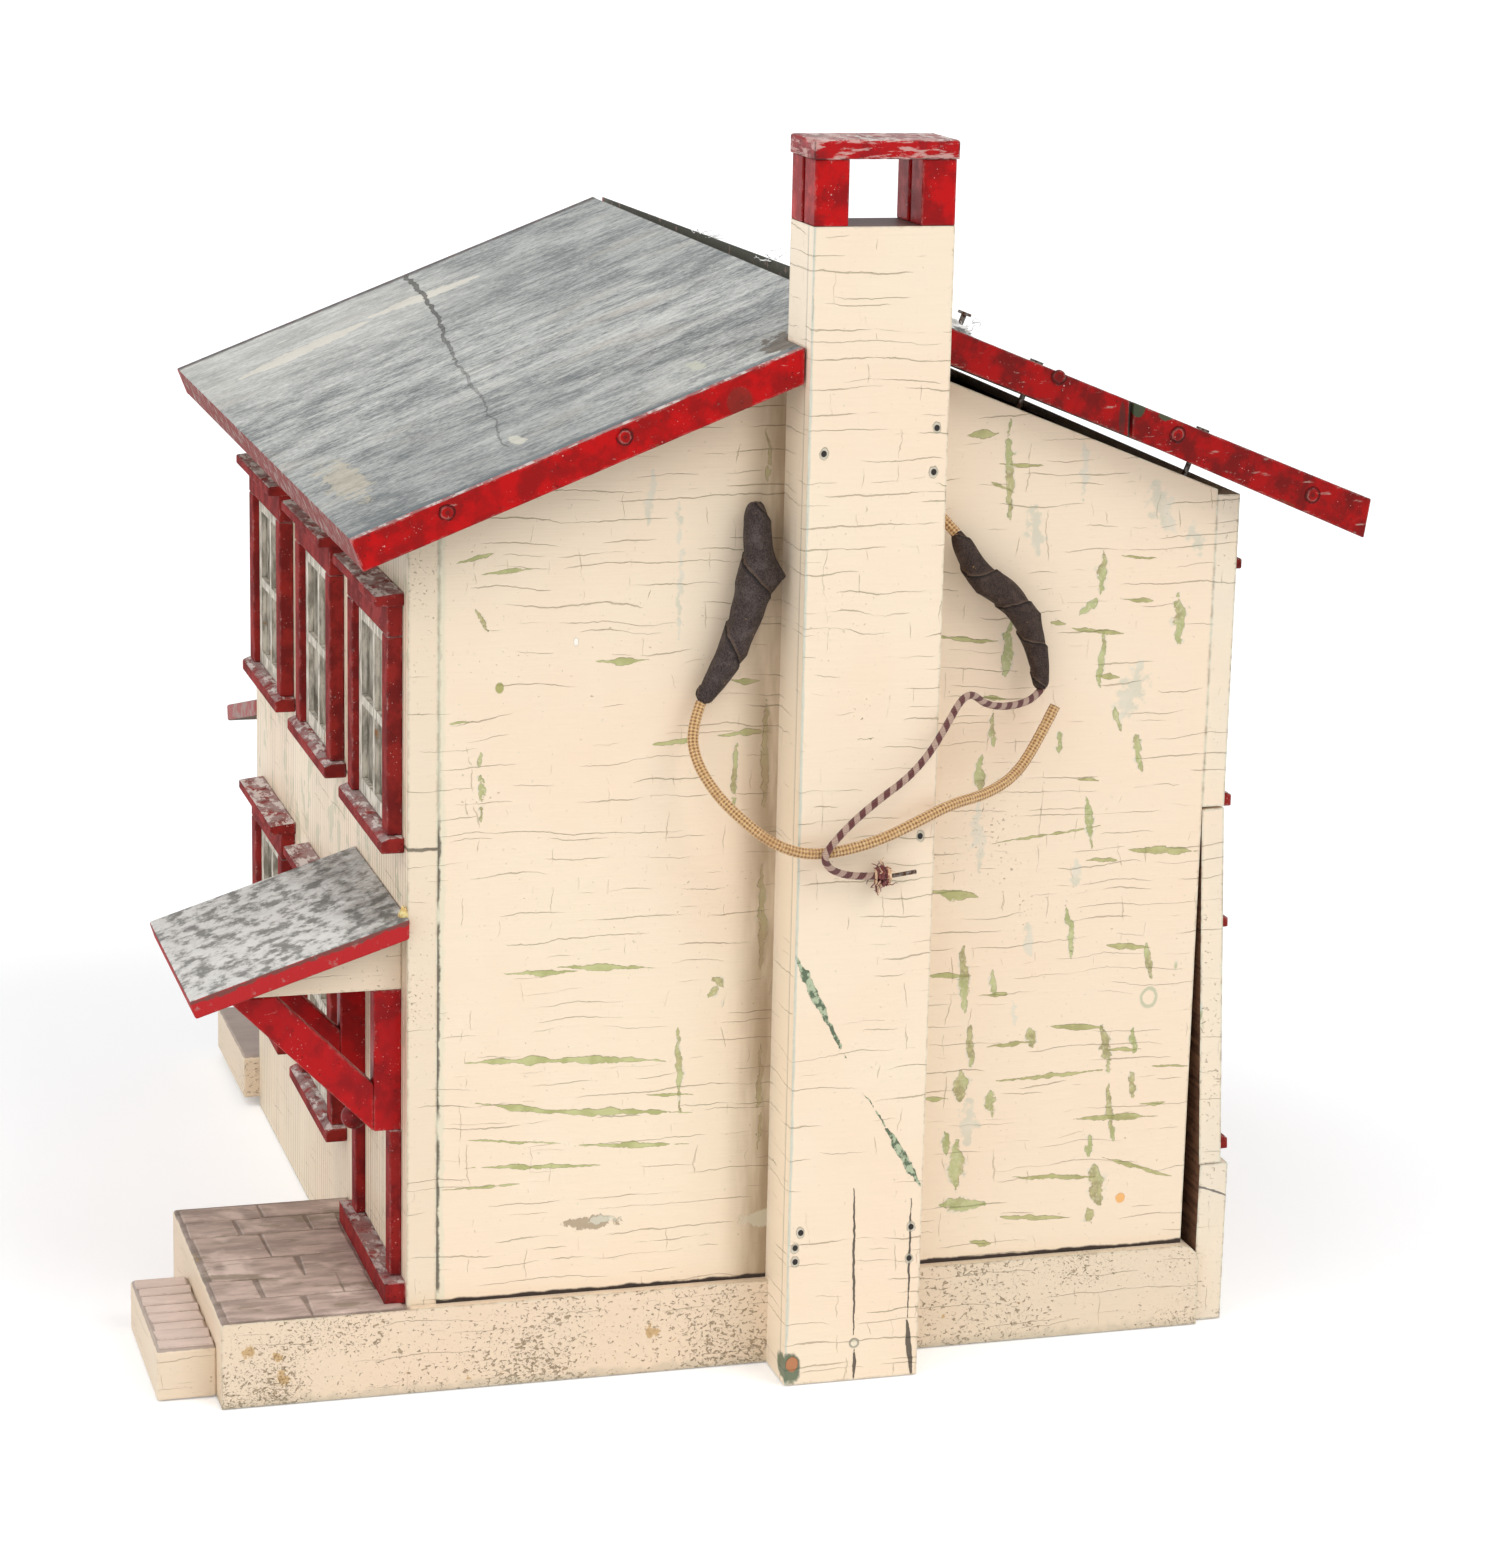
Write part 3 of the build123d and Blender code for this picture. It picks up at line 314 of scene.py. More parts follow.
# Split lines: the paint has parted along rows, each row at its own height and broken into its own lengths.
split_lines, pot, taken, given = effect(
    "split_lines",
    (("Across", "Float"), ("Along", "Float"), ("Seed", "Float"), ("Share", "Float"), ("Width", "Float")),
    (("Split", "Float"), ("Shown", "Float")),
)
row = pot.math("FLOOR", taken["Across"])
own = pot.put("ShaderNodeTexWhiteNoise", (("W", pot.plus(row, taken["Seed"])),), noise_dimensions="1D")
away = pot.less(pot.math("FRACT", taken["Across"]), pot.plus(pot.times(own, 0.84), 0.08))
stout = pot.put(
    "ShaderNodeTexWhiteNoise", (("W", pot.plus(pot.times(row, 1.7), 5.3)),), noise_dimensions="1D"
)
run = pot.put(
    "ShaderNodeCombineXYZ",
    ((0, pot.plus(taken["Along"], pot.times(own, 40.0))), (1, pot.times(row, 3.7)), (2, taken["Seed"])),
)
shown = pot.patches(run, taken["Share"], pot.plus(taken["Share"], 0.16), 1.0, 2.0, 0.55)
width = pot.plus(pot.times(pot.times(taken["Width"], shown), pot.plus(pot.times(stout, 0.9), 0.5)), 0.0001)
pot.feed(
    given["Split"],
    pot.times(
        pot.step(pot.math("ABSOLUTE", away), width, pot.times(width, 0.35)), pot.step(shown, 0.0, 0.12)
    ),
)
pot.feed(given["Shown"], shown)

# Crackle: the top coat has split along level hairlines, with lens-shaped openings that show the green
# undercoat, short upright ticks, and soft upright blotches where an older grey-blue coat has come through.
crackle, pot, taken, given = effect(
    "crackled_paint",
    (
        ("Place", "Vector"), ("Paint", "Color"), ("Cracks", "Float"), ("Openings", "Float"),
        ("Blotches", "Float"),
    ),
    (("Colour", "Color"), ("Height", "Float"), ("Bare", "Float")),
)
place = taken["Place"]
rise = pot.axis(place, "Z")
level = pot.plus(pot.axis(place, "X"), pot.axis(place, "Y"))
unsteady = pot.plus(pot.jitter(place, 1.5, 34.0, 2.0), pot.jitter(place, 0.2, 480.0, 2.0))
clusters = pot.jitter(place, 0.34, 26.0, 2.0)
share = pot.plus(pot.less(0.56, pot.times(taken["Cracks"], 0.07)), clusters)
hair = pot.use(
    split_lines,
    Across=pot.plus(pot.times(rise, 215.0), unsteady),
    Along=pot.times(level, 40.0),
    Seed=3.0,
    Share=share,
    Width=pot.times(taken["Cracks"], 0.032),
)["Split"]
tick = pot.use(
    split_lines,
    Across=pot.plus(pot.times(level, 140.0), unsteady),
    Along=pot.times(rise, 95.0),
    Seed=11.0,
    Share=pot.plus(share, 0.08),
    Width=pot.times(taken["Cracks"], 0.026),
)["Split"]
lens = pot.use(
    split_lines,
    Across=pot.plus(pot.times(rise, 58.0), pot.times(unsteady, 0.5)),
    Along=pot.times(level, 60.0),
    Seed=29.0,
    Share=pot.less(0.74, pot.times(taken["Openings"], 0.1)),
    Width=pot.times(taken["Openings"], 0.075),
)["Split"]
blotch = pot.noise(pot.scaled(place, 190.0, 190.0, 66.0), 1.0, 3.0, 0.6)
blotch_where = pot.patches(pot.scaled(place, 30.0, 30.0, 14.0), 0.5, 0.68, 1.0, 1.0)
blotch = pot.times(pot.plus(blotch, pot.times(blotch_where, 0.14)), taken["Blotches"])
blotch = pot.step(blotch, 0.68, 0.76)
tone = pot.noise(place, 18.0, 3.0, 0.55)
brushed = pot.noise(pot.scaled(place, 60.0, 60.0, 1500.0), 1.0, 2.0)
paint = pot.mix(
    pot.step(tone, 0.35, 0.7), taken["Paint"], pot.mix(0.3, taken["Paint"], colour(240, 206, 178))
)
paint = pot.over(paint, colour(214, 196, 164), pot.less(brushed, 0.35), 0.2)
green = pot.mix(pot.patches(place, 0.35, 0.65, 150.0), colour(146, 158, 84), colour(176, 188, 124))
dusty = pot.mix(pot.patches(place, 0.45, 0.6, 120.0), colour(206, 210, 200), colour(188, 194, 176))
tint = pot.over(paint, dusty, blotch, 0.75)
tint = pot.over(tint, green, pot.times(blotch, pot.patches(place, 0.52, 0.6, 95.0)), 0.7)
tint = pot.over(tint, colour(186, 170, 128), tick, 0.4)
tint = pot.over(
    tint,
    pot.mix(pot.patches(place, 0.42, 0.58, 45.0), colour(172, 152, 112), colour(154, 158, 104)),
    hair,
    0.46,
)
tint = pot.over(tint, green, lens, 0.9)
split = pot.most(hair, lens)
pot.feed(given["Colour"], tint)
sunk = pot.plus(pot.times(split, -1.0), pot.plus(pot.times(blotch, -0.3), pot.times(tick, -0.5)))
pot.feed(given["Height"], pot.plus(sunk, pot.times(brushed, 0.16)))
pot.feed(given["Bare"], pot.most(split, blotch))

CREAM = colour(239, 221, 195)
ROUGH_CREAM = colour(226, 207, 181)


def cream_paint(name, cracks, openings, blotches, pits, pit_size, wear, extra=None, paint=CREAM, inward=None):
    """The house's cream oil paint over green, its ageing set for one board. extra adds marks of that board,
    and the face turned inward is left as bare brown wood."""
    material, pot, place, shader = finish(name)
    aged = pot.use(crackle, Place=place, Paint=paint, Cracks=cracks, Openings=openings, Blotches=blotches)
    hollows = pot.use(pitted, Place=place, Size=pit_size, Amount=pits)["Pits"]
    rubbed = pot.use(worn_edges, Place=place, Reach=0.0014, Amount=wear)["Wear"]
    tint = pot.over(aged["Colour"], colour(166, 146, 112), hollows, 0.5)
    bared = pot.mix(pot.patches(place, 0.42, 0.58, 230.0, 3.0), colour(126, 112, 84), colour(188, 194, 172))
    tint = pot.over(tint, bared, rubbed, 0.7)
    height = pot.plus(aged["Height"], pot.times(hollows, -0.9))
    if extra:
        tint, height = extra(pot, place, tint, height)
    if inward:
        facing = pot.vector(
            "DOT_PRODUCT", pot.put("ShaderNodeNewGeometry", out="Normal"), inward, out="Value"
        )
        grain = pot.noise(pot.scaled(place, 60.0, 60.0, 700.0), 1.0, 4.0, 0.6)
        raw = pot.mix(pot.step(grain, 0.35, 0.65), colour(84, 56, 42), colour(132, 96, 72))
        tint = pot.mix(pot.step(facing, 0.7, 0.8), tint, raw)
    roughness = pot.step(aged["Bare"], 0.0, 1.0, 0.46, 0.72)
    lay_on(pot, shader, tint, roughness, height)
    return material


TREAD = colour(202, 179, 165)


def flagstone_paint(pot, place):
    """Mauve stone colour, streaked along the grain and worn to brown and green-black in the low spots."""
    drawn = pot.noise(pot.scaled(place, 260.0, 70.0, 260.0), 1.0, 4.0, 0.6)
    tint = pot.mix(pot.step(drawn, 0.36, 0.66), colour(166, 145, 133), TREAD)
    tint = pot.mix(pot.patches(place, 0.52, 0.7, 90.0, 3.0), tint, colour(218, 196, 182))
    stain = pot.patches(pot.scaled(place, 150.0, 52.0, 60.0), 0.55, 0.64, 1.0, 4.0, 0.62)
    tint = pot.over(tint, colour(128, 116, 88), stain, 0.55)
    lower = pot.step(pot.axis(place, "Z"), 0.021, 0.018, 0.0, 0.7)
    tint = pot.mix(lower, tint, colour(226, 204, 190))
    scuff = pot.patches(pot.scaled(place, 420.0, 240.0, 420.0), 0.66, 0.72, 1.0, 3.0, 0.7)
    return pot.over(tint, colour(222, 204, 188), scuff, 0.6), drawn


def tread_top(pot, place, tint, height, out_to):
    """Ragged edge of the stone colour on top of the porch, step or stoop, and cream below it."""
    up = pot.facing("Z")
    ragged = pot.jitter(place, 0.6, 330.0, 3.0, 0.6)
    on_top = pot.step(pot.plus(up, ragged), 0.5, 0.7)
    outside = pot.step(pot.axis(place, "Y"), out_to, out_to - 0.002)
    share = pot.times(on_top, outside)
    stone, drawn = flagstone_paint(pot, place)
    gap = pot.mix(0.42, stone, colour(78, 68, 54))
    tint = pot.mix(share, tint, gap)
    return tint, pot.plus(height, pot.times(share, drawn))


FRONT_WALL_Y = -0.1035
EVERYWHERE = 9.0


def stoop_marks(pot, place, tint, height):
    """Stone colour over the whole top."""
    return tread_top(pot, place, tint, height, EVERYWHERE)


def porch_marks(pot, place, tint, height):
    """Stone colour in front of the house only; worm-like pits, rust spots and soil on the beam's side."""
    tint, height = tread_top(pot, place, tint, height, FRONT_WALL_Y)
    side = pot.step(pot.facing("X"), 0.6, 0.8)
    middle = pot.step(pot.math("ABSOLUTE", pot.less(pot.axis(place, "Y"), -0.01)), 0.16, 0.03, 0.66, 1.06)
    worms = pot.times(pot.use(pitted, Place=place, Size=900.0, Amount=middle)["Pits"], side)
    tint = pot.over(tint, colour(140, 116, 78), worms, 0.7)
    height = pot.less(height, worms)
    rust = pot.patches(pot.scaled(place, 130.0, 130.0, 190.0), 0.69, 0.73, 1.0, 3.0, 0.6)
    for y, z, size in (
        (-0.1511, 0.0168, 0.0022), (-0.1425, 0.0142, 0.0020), (-0.1417, 0.0077, 0.0026),
        (-0.0328, 0.0122, 0.0030),
    ):
        off = pot.vector("DIVIDE", pot.vector("SUBTRACT", place, (0.15475, y, z)), (0.004, size, size))
        near = pot.less(1.0, pot.vector("LENGTH", off, out="Value"))
        torn = pot.jitter(place, 3.0, 520.0, 3.0, 0.65)
        rust = pot.most(rust, pot.step(pot.plus(near, torn), 0.1, 0.5))
    tint = pot.over(tint, colour(182, 140, 70), rust, 0.7)
    soil = pot.step(
        pot.plus(pot.axis(place, "Z"), pot.times(pot.noise(place, 260.0, 3.0), 0.006)), 0.0062, 0.0035
    )
    return pot.over(tint, colour(176, 166, 142), soil, 0.4), height


dress(
    cream_paint(
        "beam_paint", cracks=0.5, openings=0.3, blotches=0.4, pits=0.7, pit_size=1700.0, wear=0.7,
        extra=porch_marks, paint=ROUGH_CREAM,
    ),
    "porch_beam", "far_beam",
)
dress(
    cream_paint(
        "stoop_paint", cracks=0.5, openings=0.2, blotches=0.4, pits=0.6, pit_size=1000.0, wear=0.6,
        extra=stoop_marks, paint=ROUGH_CREAM,
    ),
    "porch_step", "side_stoop",
)
soften(0.0006, "far_beam", "porch_step", "side_stoop")

tread_paint, pot, place, shader = finish("flagstone_paint")
stone, drawn = flagstone_paint(pot, place)
rubbed = pot.use(worn_edges, Place=place, Reach=0.0009, Amount=1.0)["Wear"]
lay_on(pot, shader, pot.over(stone, colour(104, 92, 78), rubbed, 0.45), 0.62, drawn, 0.0005)


def flagstones(bm, rows, joints, z, thickness, rng):
    """Low stones cut into the tread: rows run out from the wall, each split across at its own places."""
    for (x0, x1), cuts in zip(rows, joints):
        for y0, y1 in zip(cuts, cuts[1:]):
            gap = 0.00035  # dirt between two stones
            corners = ((x0 + gap, y0 + gap), (x1 - gap, y0 + gap), (x1 - gap, y1 - gap), (x0 + gap, y1 - gap))
            corners = [(x + rng.uniform(-1, 1) * 0.0004, y + rng.uniform(-1, 1) * 0.0006) for x, y in corners]
            lift = z + thickness * rng.uniform(0.8, 1.0)
            middle = (sum(x for x, y in corners) / 4, sum(y for x, y in corners) / 4)
            low = [bm.verts.new((x, y, z - 0.0002)) for x, y in corners]
            shoulder = [bm.verts.new((x, y, lift - 0.00022)) for x, y in corners]
            inner = [(x + (middle[0] - x) * 0.05, y + (middle[1] - y) * 0.05) for x, y in corners]
            top = [bm.verts.new((x, y, lift)) for x, y in inner]
            for ring, upper in ((low, shoulder), (shoulder, top)):
                for i in range(4):
                    bm.faces.new((ring[i], ring[(i + 1) % 4], upper[(i + 1) % 4], upper[i]))
            bm.faces.new(top)
            bm.faces.new(low[::-1])


PORCH_TOP, STEP_TOP = 0.0255, 0.0153
STONE_PROUD = 0.00045
rng = random.Random(7)
bm = bmesh.new()
flagstones(
    bm,
    (
        (0.0592, 0.0710), (0.0710, 0.0845), (0.0845, 0.1050), (0.1050, 0.1215), (0.1215, 0.1370),
        (0.1370, 0.1536),
    ),
    (
        (-0.1572, -0.1330, -0.1052), (-0.1572, -0.1420, -0.1205, -0.1113), (-0.1572, -0.1365, -0.1113),
        (-0.1572, -0.1290, -0.1113), (-0.1572, -0.1440, -0.1200, -0.1113), (-0.1572, -0.1325, -0.1052),
    ),
    PORCH_TOP,
    STONE_PROUD,
    rng,
)
flagstones(
    bm,
    (
        (0.0884, 0.0957), (0.0957, 0.1022), (0.1022, 0.1098), (0.1098, 0.1167), (0.1167, 0.1238),
        (0.1238, 0.1302), (0.1302, 0.1375), (0.1375, 0.1440),
    ),
    ((-0.1750, -0.1592),) * 8,
    STEP_TOP,
    STONE_PROUD,
    rng,
)
new_piece("porch_flagstones", bm, tread_paint, "house")


# Floors: bare boards let in between the walls, gone brown and dusty indoors.
floor_wood, pot, place, shader = finish("old_floor_boards")
grain = pot.noise(pot.scaled(place, 30.0, 420.0, 420.0), 1.0, 4.0, 0.6, 0.4)
tint = pot.mix(pot.step(grain, 0.3, 0.7), colour(122, 92, 62), colour(176, 144, 104))
dust = pot.patches(place, 0.45, 0.7, 36.0, 4.0)
lay_on(pot, shader, pot.over(tint, colour(186, 174, 156), dust, 0.5), 0.8, grain)
dress(floor_wood, "ground_floor", "upper_floor")


# Walls: thin boards nailed and glued to each other. The chimney gable is one wide board, the front and back
# are boards let between the gables, and the front is scored with upright lines to look like narrow planking.
nearness, pot, taken, given = effect(
    "near_a_line",
    (
        ("Place", "Vector"), ("From", "Vector"), ("Run", "Vector"), ("Measure", "Vector"), ("Width", "Float"),
        ("Taper", "Float"), ("Point", "Float"),
    ),
    (("Near", "Float"),),
)
from_start = pot.vector("SUBTRACT", taken["Place"], taken["From"])
share = pot.math(
    "MINIMUM", pot.most(pot.vector("DOT_PRODUCT", from_start, taken["Measure"], out="Value"), 0.0), 1.0
)
along = pot.put("ShaderNodeVectorMath", ((0, taken["Run"]), ("Scale", share)), operation="SCALE")
away = pot.vector("LENGTH", pot.vector("SUBTRACT", from_start, along), out="Value")
from_middle = pot.math("POWER", pot.math("ABSOLUTE", pot.less(pot.times(share, 2.0), 1.0)), taken["Point"])
width = pot.times(taken["Width"], pot.less(1.0, pot.times(from_middle, taken["Taper"])))
pot.feed(given["Near"], pot.less(1.0, pot.math("DIVIDE", away, width)))


def wandering(pot, place, amount, scale=210.0):
    """The same place shifted about a little, so that what is drawn there runs unevenly."""
    drift = pot.vector("SUBTRACT", pot.noise(place, scale, 3.0, 0.6, out=1), (0.5, 0.5, 0.5))
    return pot.vector("ADD", place, pot.scaled(drift, amount, amount, amount))


def near_lines(pot, place, lines, taper, point=2.0):
    """How near the place is to the nearest of several marked lines: 1 on the line, 0 at the mark's edge."""
    nearest = -9.0
    for start, end, width in lines:
        run = Vector(end) - Vector(start)
        near = pot.use(
            nearness,
            Place=place,
            From=start,
            Run=run,
            Measure=run / run.length_squared,
            Width=width,
            Taper=taper,
            Point=point,
        )
        nearest = pot.most(near["Near"], nearest)
    return nearest


def ragged_mask(pot, place, near, rough, scale=260.0):
    """Mark with a torn edge."""
    torn = pot.jitter(place, rough, scale, 4.0, 0.65)
    return pot.step(pot.plus(near, torn), 0.0, 0.22)


def spots(pot, place, tint, height, marks, depth):
    """Stains, chips and nail holes at their own places: middle, half sizes, raggedness, colour, strength."""
    for middle, stretch, ragged, shade, strength in marks:
        off = pot.vector("DIVIDE", pot.vector("SUBTRACT", place, middle), stretch)
        mark = ragged_mask(pot, place, pot.less(1.0, pot.vector("LENGTH", off, out="Value")), ragged)
        tint = pot.mix(pot.times(mark, strength), tint, shade)
        height = pot.plus(height, pot.times(mark, -depth))
    return tint, height


GABLE_X = 0.15175
LEVEL_SPLITS = (
    (-90.3, 242.4, -80.1, 244.8, 0.54), (-82.8, 239.1, -68.9, 240.1, 0.47),
    (-50.3, 212.9, -37.5, 212.9, 0.68), (-93.7, 196.6, -86.7, 197.4, 0.41),
    (-34.2, 188.4, -22.7, 189.3, 0.68), (-14.1, 190.3, -1.6, 190.9, 0.68), (-74.9, 123.3, -57.7, 122.9, 0.81),
    (-60.1, 124.5, -36, 122.7, 0.68), (-85, 97.7, -51.6, 96.3, 0.95), (-63.2, 97.1, -32.6, 94.7, 0.81),
    (-83.8, 85.2, -63, 81.4, 0.68), (-67.4, 81.7, -25, 78.4, 0.81), (-84.9, 74.1, -62.9, 71.9, 0.47),
    (-84.3, 66, -51.2, 64.1, 0.54), (-52.5, 70.2, -24.8, 68.8, 0.68), (-93.1, 59.9, -74.4, 60.2, 0.54),
    (-33.9, 84.4, -22.1, 83.6, 0.54), (-12.4, 206, -4.2, 205.4, 0.6), (56.5, 274.4, 65, 275, 0.8),
    (67, 266, 80.3, 265, 0.4), (63.2, 261.3, 70.2, 258, 0.5), (105, 238.3, 115, 237.2, 0.5),
    (91.5, 217.3, 105, 215.5, 0.7), (106, 225.5, 117, 224.6, 0.4), (49, 216.2, 66.5, 214.4, 0.6),
    (62.2, 198, 70, 197.4, 0.6), (98.7, 203, 105.8, 202.4, 0.7), (83.5, 219.2, 88.2, 218.6, 0.5),
    (94.6, 172.2, 100.8, 171.7, 0.6), (71, 154.5, 100, 157.5, 0.35), (113, 149.8, 131.6, 148.8, 1.1),
    (97.6, 147.6, 107, 147.2, 0.6), (50, 140.7, 63, 138.5, 1.5), (49.6, 115.2, 62, 114.3, 0.6),
    (67, 108.1, 77.2, 107.8, 0.55), (105.8, 121, 117.8, 119.7, 0.7), (88.7, 97.2, 104.6, 95.8, 0.6),
    (107.2, 88.6, 116.8, 88, 0.6), (70, 92.2, 82.5, 92.7, 0.6), (75, 81.2, 105, 82.2, 0.6),
    (120.2, 82.4, 132, 82, 0.5), (50.6, 77.2, 57, 76.9, 0.7), (99.3, 67.5, 121.3, 66.8, 0.8),
    (119, 70.8, 125.4, 70.5, 0.7), (81, 50.4, 102.6, 49, 0.9), (108.7, 54.5, 127.6, 47.6, 0.6),
    (75.2, 38.2, 95, 36.7, 0.6), (66.5, 31.2, 72, 30.2, 0.9),
)
UPRIGHT_SPLITS = (
    (-85.5, 229.5, -82.1, 221.9, 0.54), (-84.2, 191.1, -84, 167.6, 0.54), (-15.8, 118.6, -12.6, 115.2, 0.9),
    (-14.0, 114.8, -16.2, 112.9, 0.7), (-25.5, 104, -24.4, 78.6, 0.68), (-2.8, 277.3, -2.4, 262, 0.5),
    (-1.8, 200, -1.4, 168, 0.8), (-1.2, 152, -0.9, 120, 0.9), (-0.8, 98, -0.5, 66, 0.6),
    (-9.6, 188.6, -10.8, 168, 0.7), (68.9, 279, 69.9, 249.7, 0.9), (99, 239.7, 98.6, 226, 0.9),
    (98.6, 226, 92.6, 221.6, 0.9), (100, 216.7, 99.2, 199.5, 0.7), (71.2, 219.3, 70.2, 204, 1.3),
    (123, 225.9, 123.8, 211.2, 1.3), (104.8, 194, 106.5, 186, 0.6), (111.3, 186, 114.2, 172.7, 0.8),
    (66.7, 193.6, 67.2, 183, 0.8), (63.9, 180.3, 63.6, 170.5, 1.1), (87.9, 186.3, 88.2, 179.6, 0.8),
    (97.4, 166.7, 99, 151.4, 0.7), (60.2, 123.8, 61.8, 102.3, 1), (63.9, 100.6, 63.7, 85.2, 0.8),
    (60.7, 84.5, 61.3, 76, 1.8), (57.1, 66.2, 57.5, 59.3, 1), (60.7, 63.6, 60.9, 48, 1.6),
    (69.8, 115.6, 70.4, 108, 0.7), (70.4, 79.2, 71.2, 70, 1), (82.2, 97.1, 82.9, 91, 0.9),
    (92.4, 134.2, 94.7, 117.9, 0.7), (105.2, 96.4, 107.5, 81.5, 1), (107.9, 78.1, 110.2, 59.2, 0.8),
    (114.9, 95, 116, 86.3, 0.7), (115.1, 81, 116.1, 72.3, 0.7), (117.8, 120.5, 120.6, 110.3, 0.8),
    (102.7, 63, 103, 55.5, 0.8), (104.8, 52.5, 106.1, 39.8, 1.8), (103, 38.5, 104.6, 34.5, 1.3),
    (56, 44, 70, 42.8, 1.5),
)
DUSTY_STREAKS = (
    (-27.9, 258.2, -27.2, 218.3, 1.1), (-36.1, 266.9, -37, 251.4, 1.6), (91.3, 275, 92.6, 255, 1.5),
    (77, 254, 78.5, 240, 2.6), (114, 259, 119.5, 246, 4.5), (125.8, 248, 129, 237.2, 2.4),
    (112, 206, 107, 190, 4.6), (63, 169, 64.6, 146, 2.2), (94.2, 147, 95.3, 139.5, 2),
    (63.6, 75.8, 64.7, 62, 3), (80.3, 128.9, 81.2, 119.5, 1.8), (76.6, 105.2, 77.4, 98.2, 0.8),
)


def on_gable(lines, swell, reach=1.0):
    """Marks measured along the gable and up it in millimetres, as lines on its outer face."""
    marks = []
    for a, b, c, d, width in lines:
        middle = Vector((GABLE_X, (a + c) / 2000, (b + d) / 2000))
        half = Vector((0.0, (c - a) / 2000, (d - b) / 2000)) * reach
        marks.append((middle - half, middle + half, swell * width / 1000))
    return marks


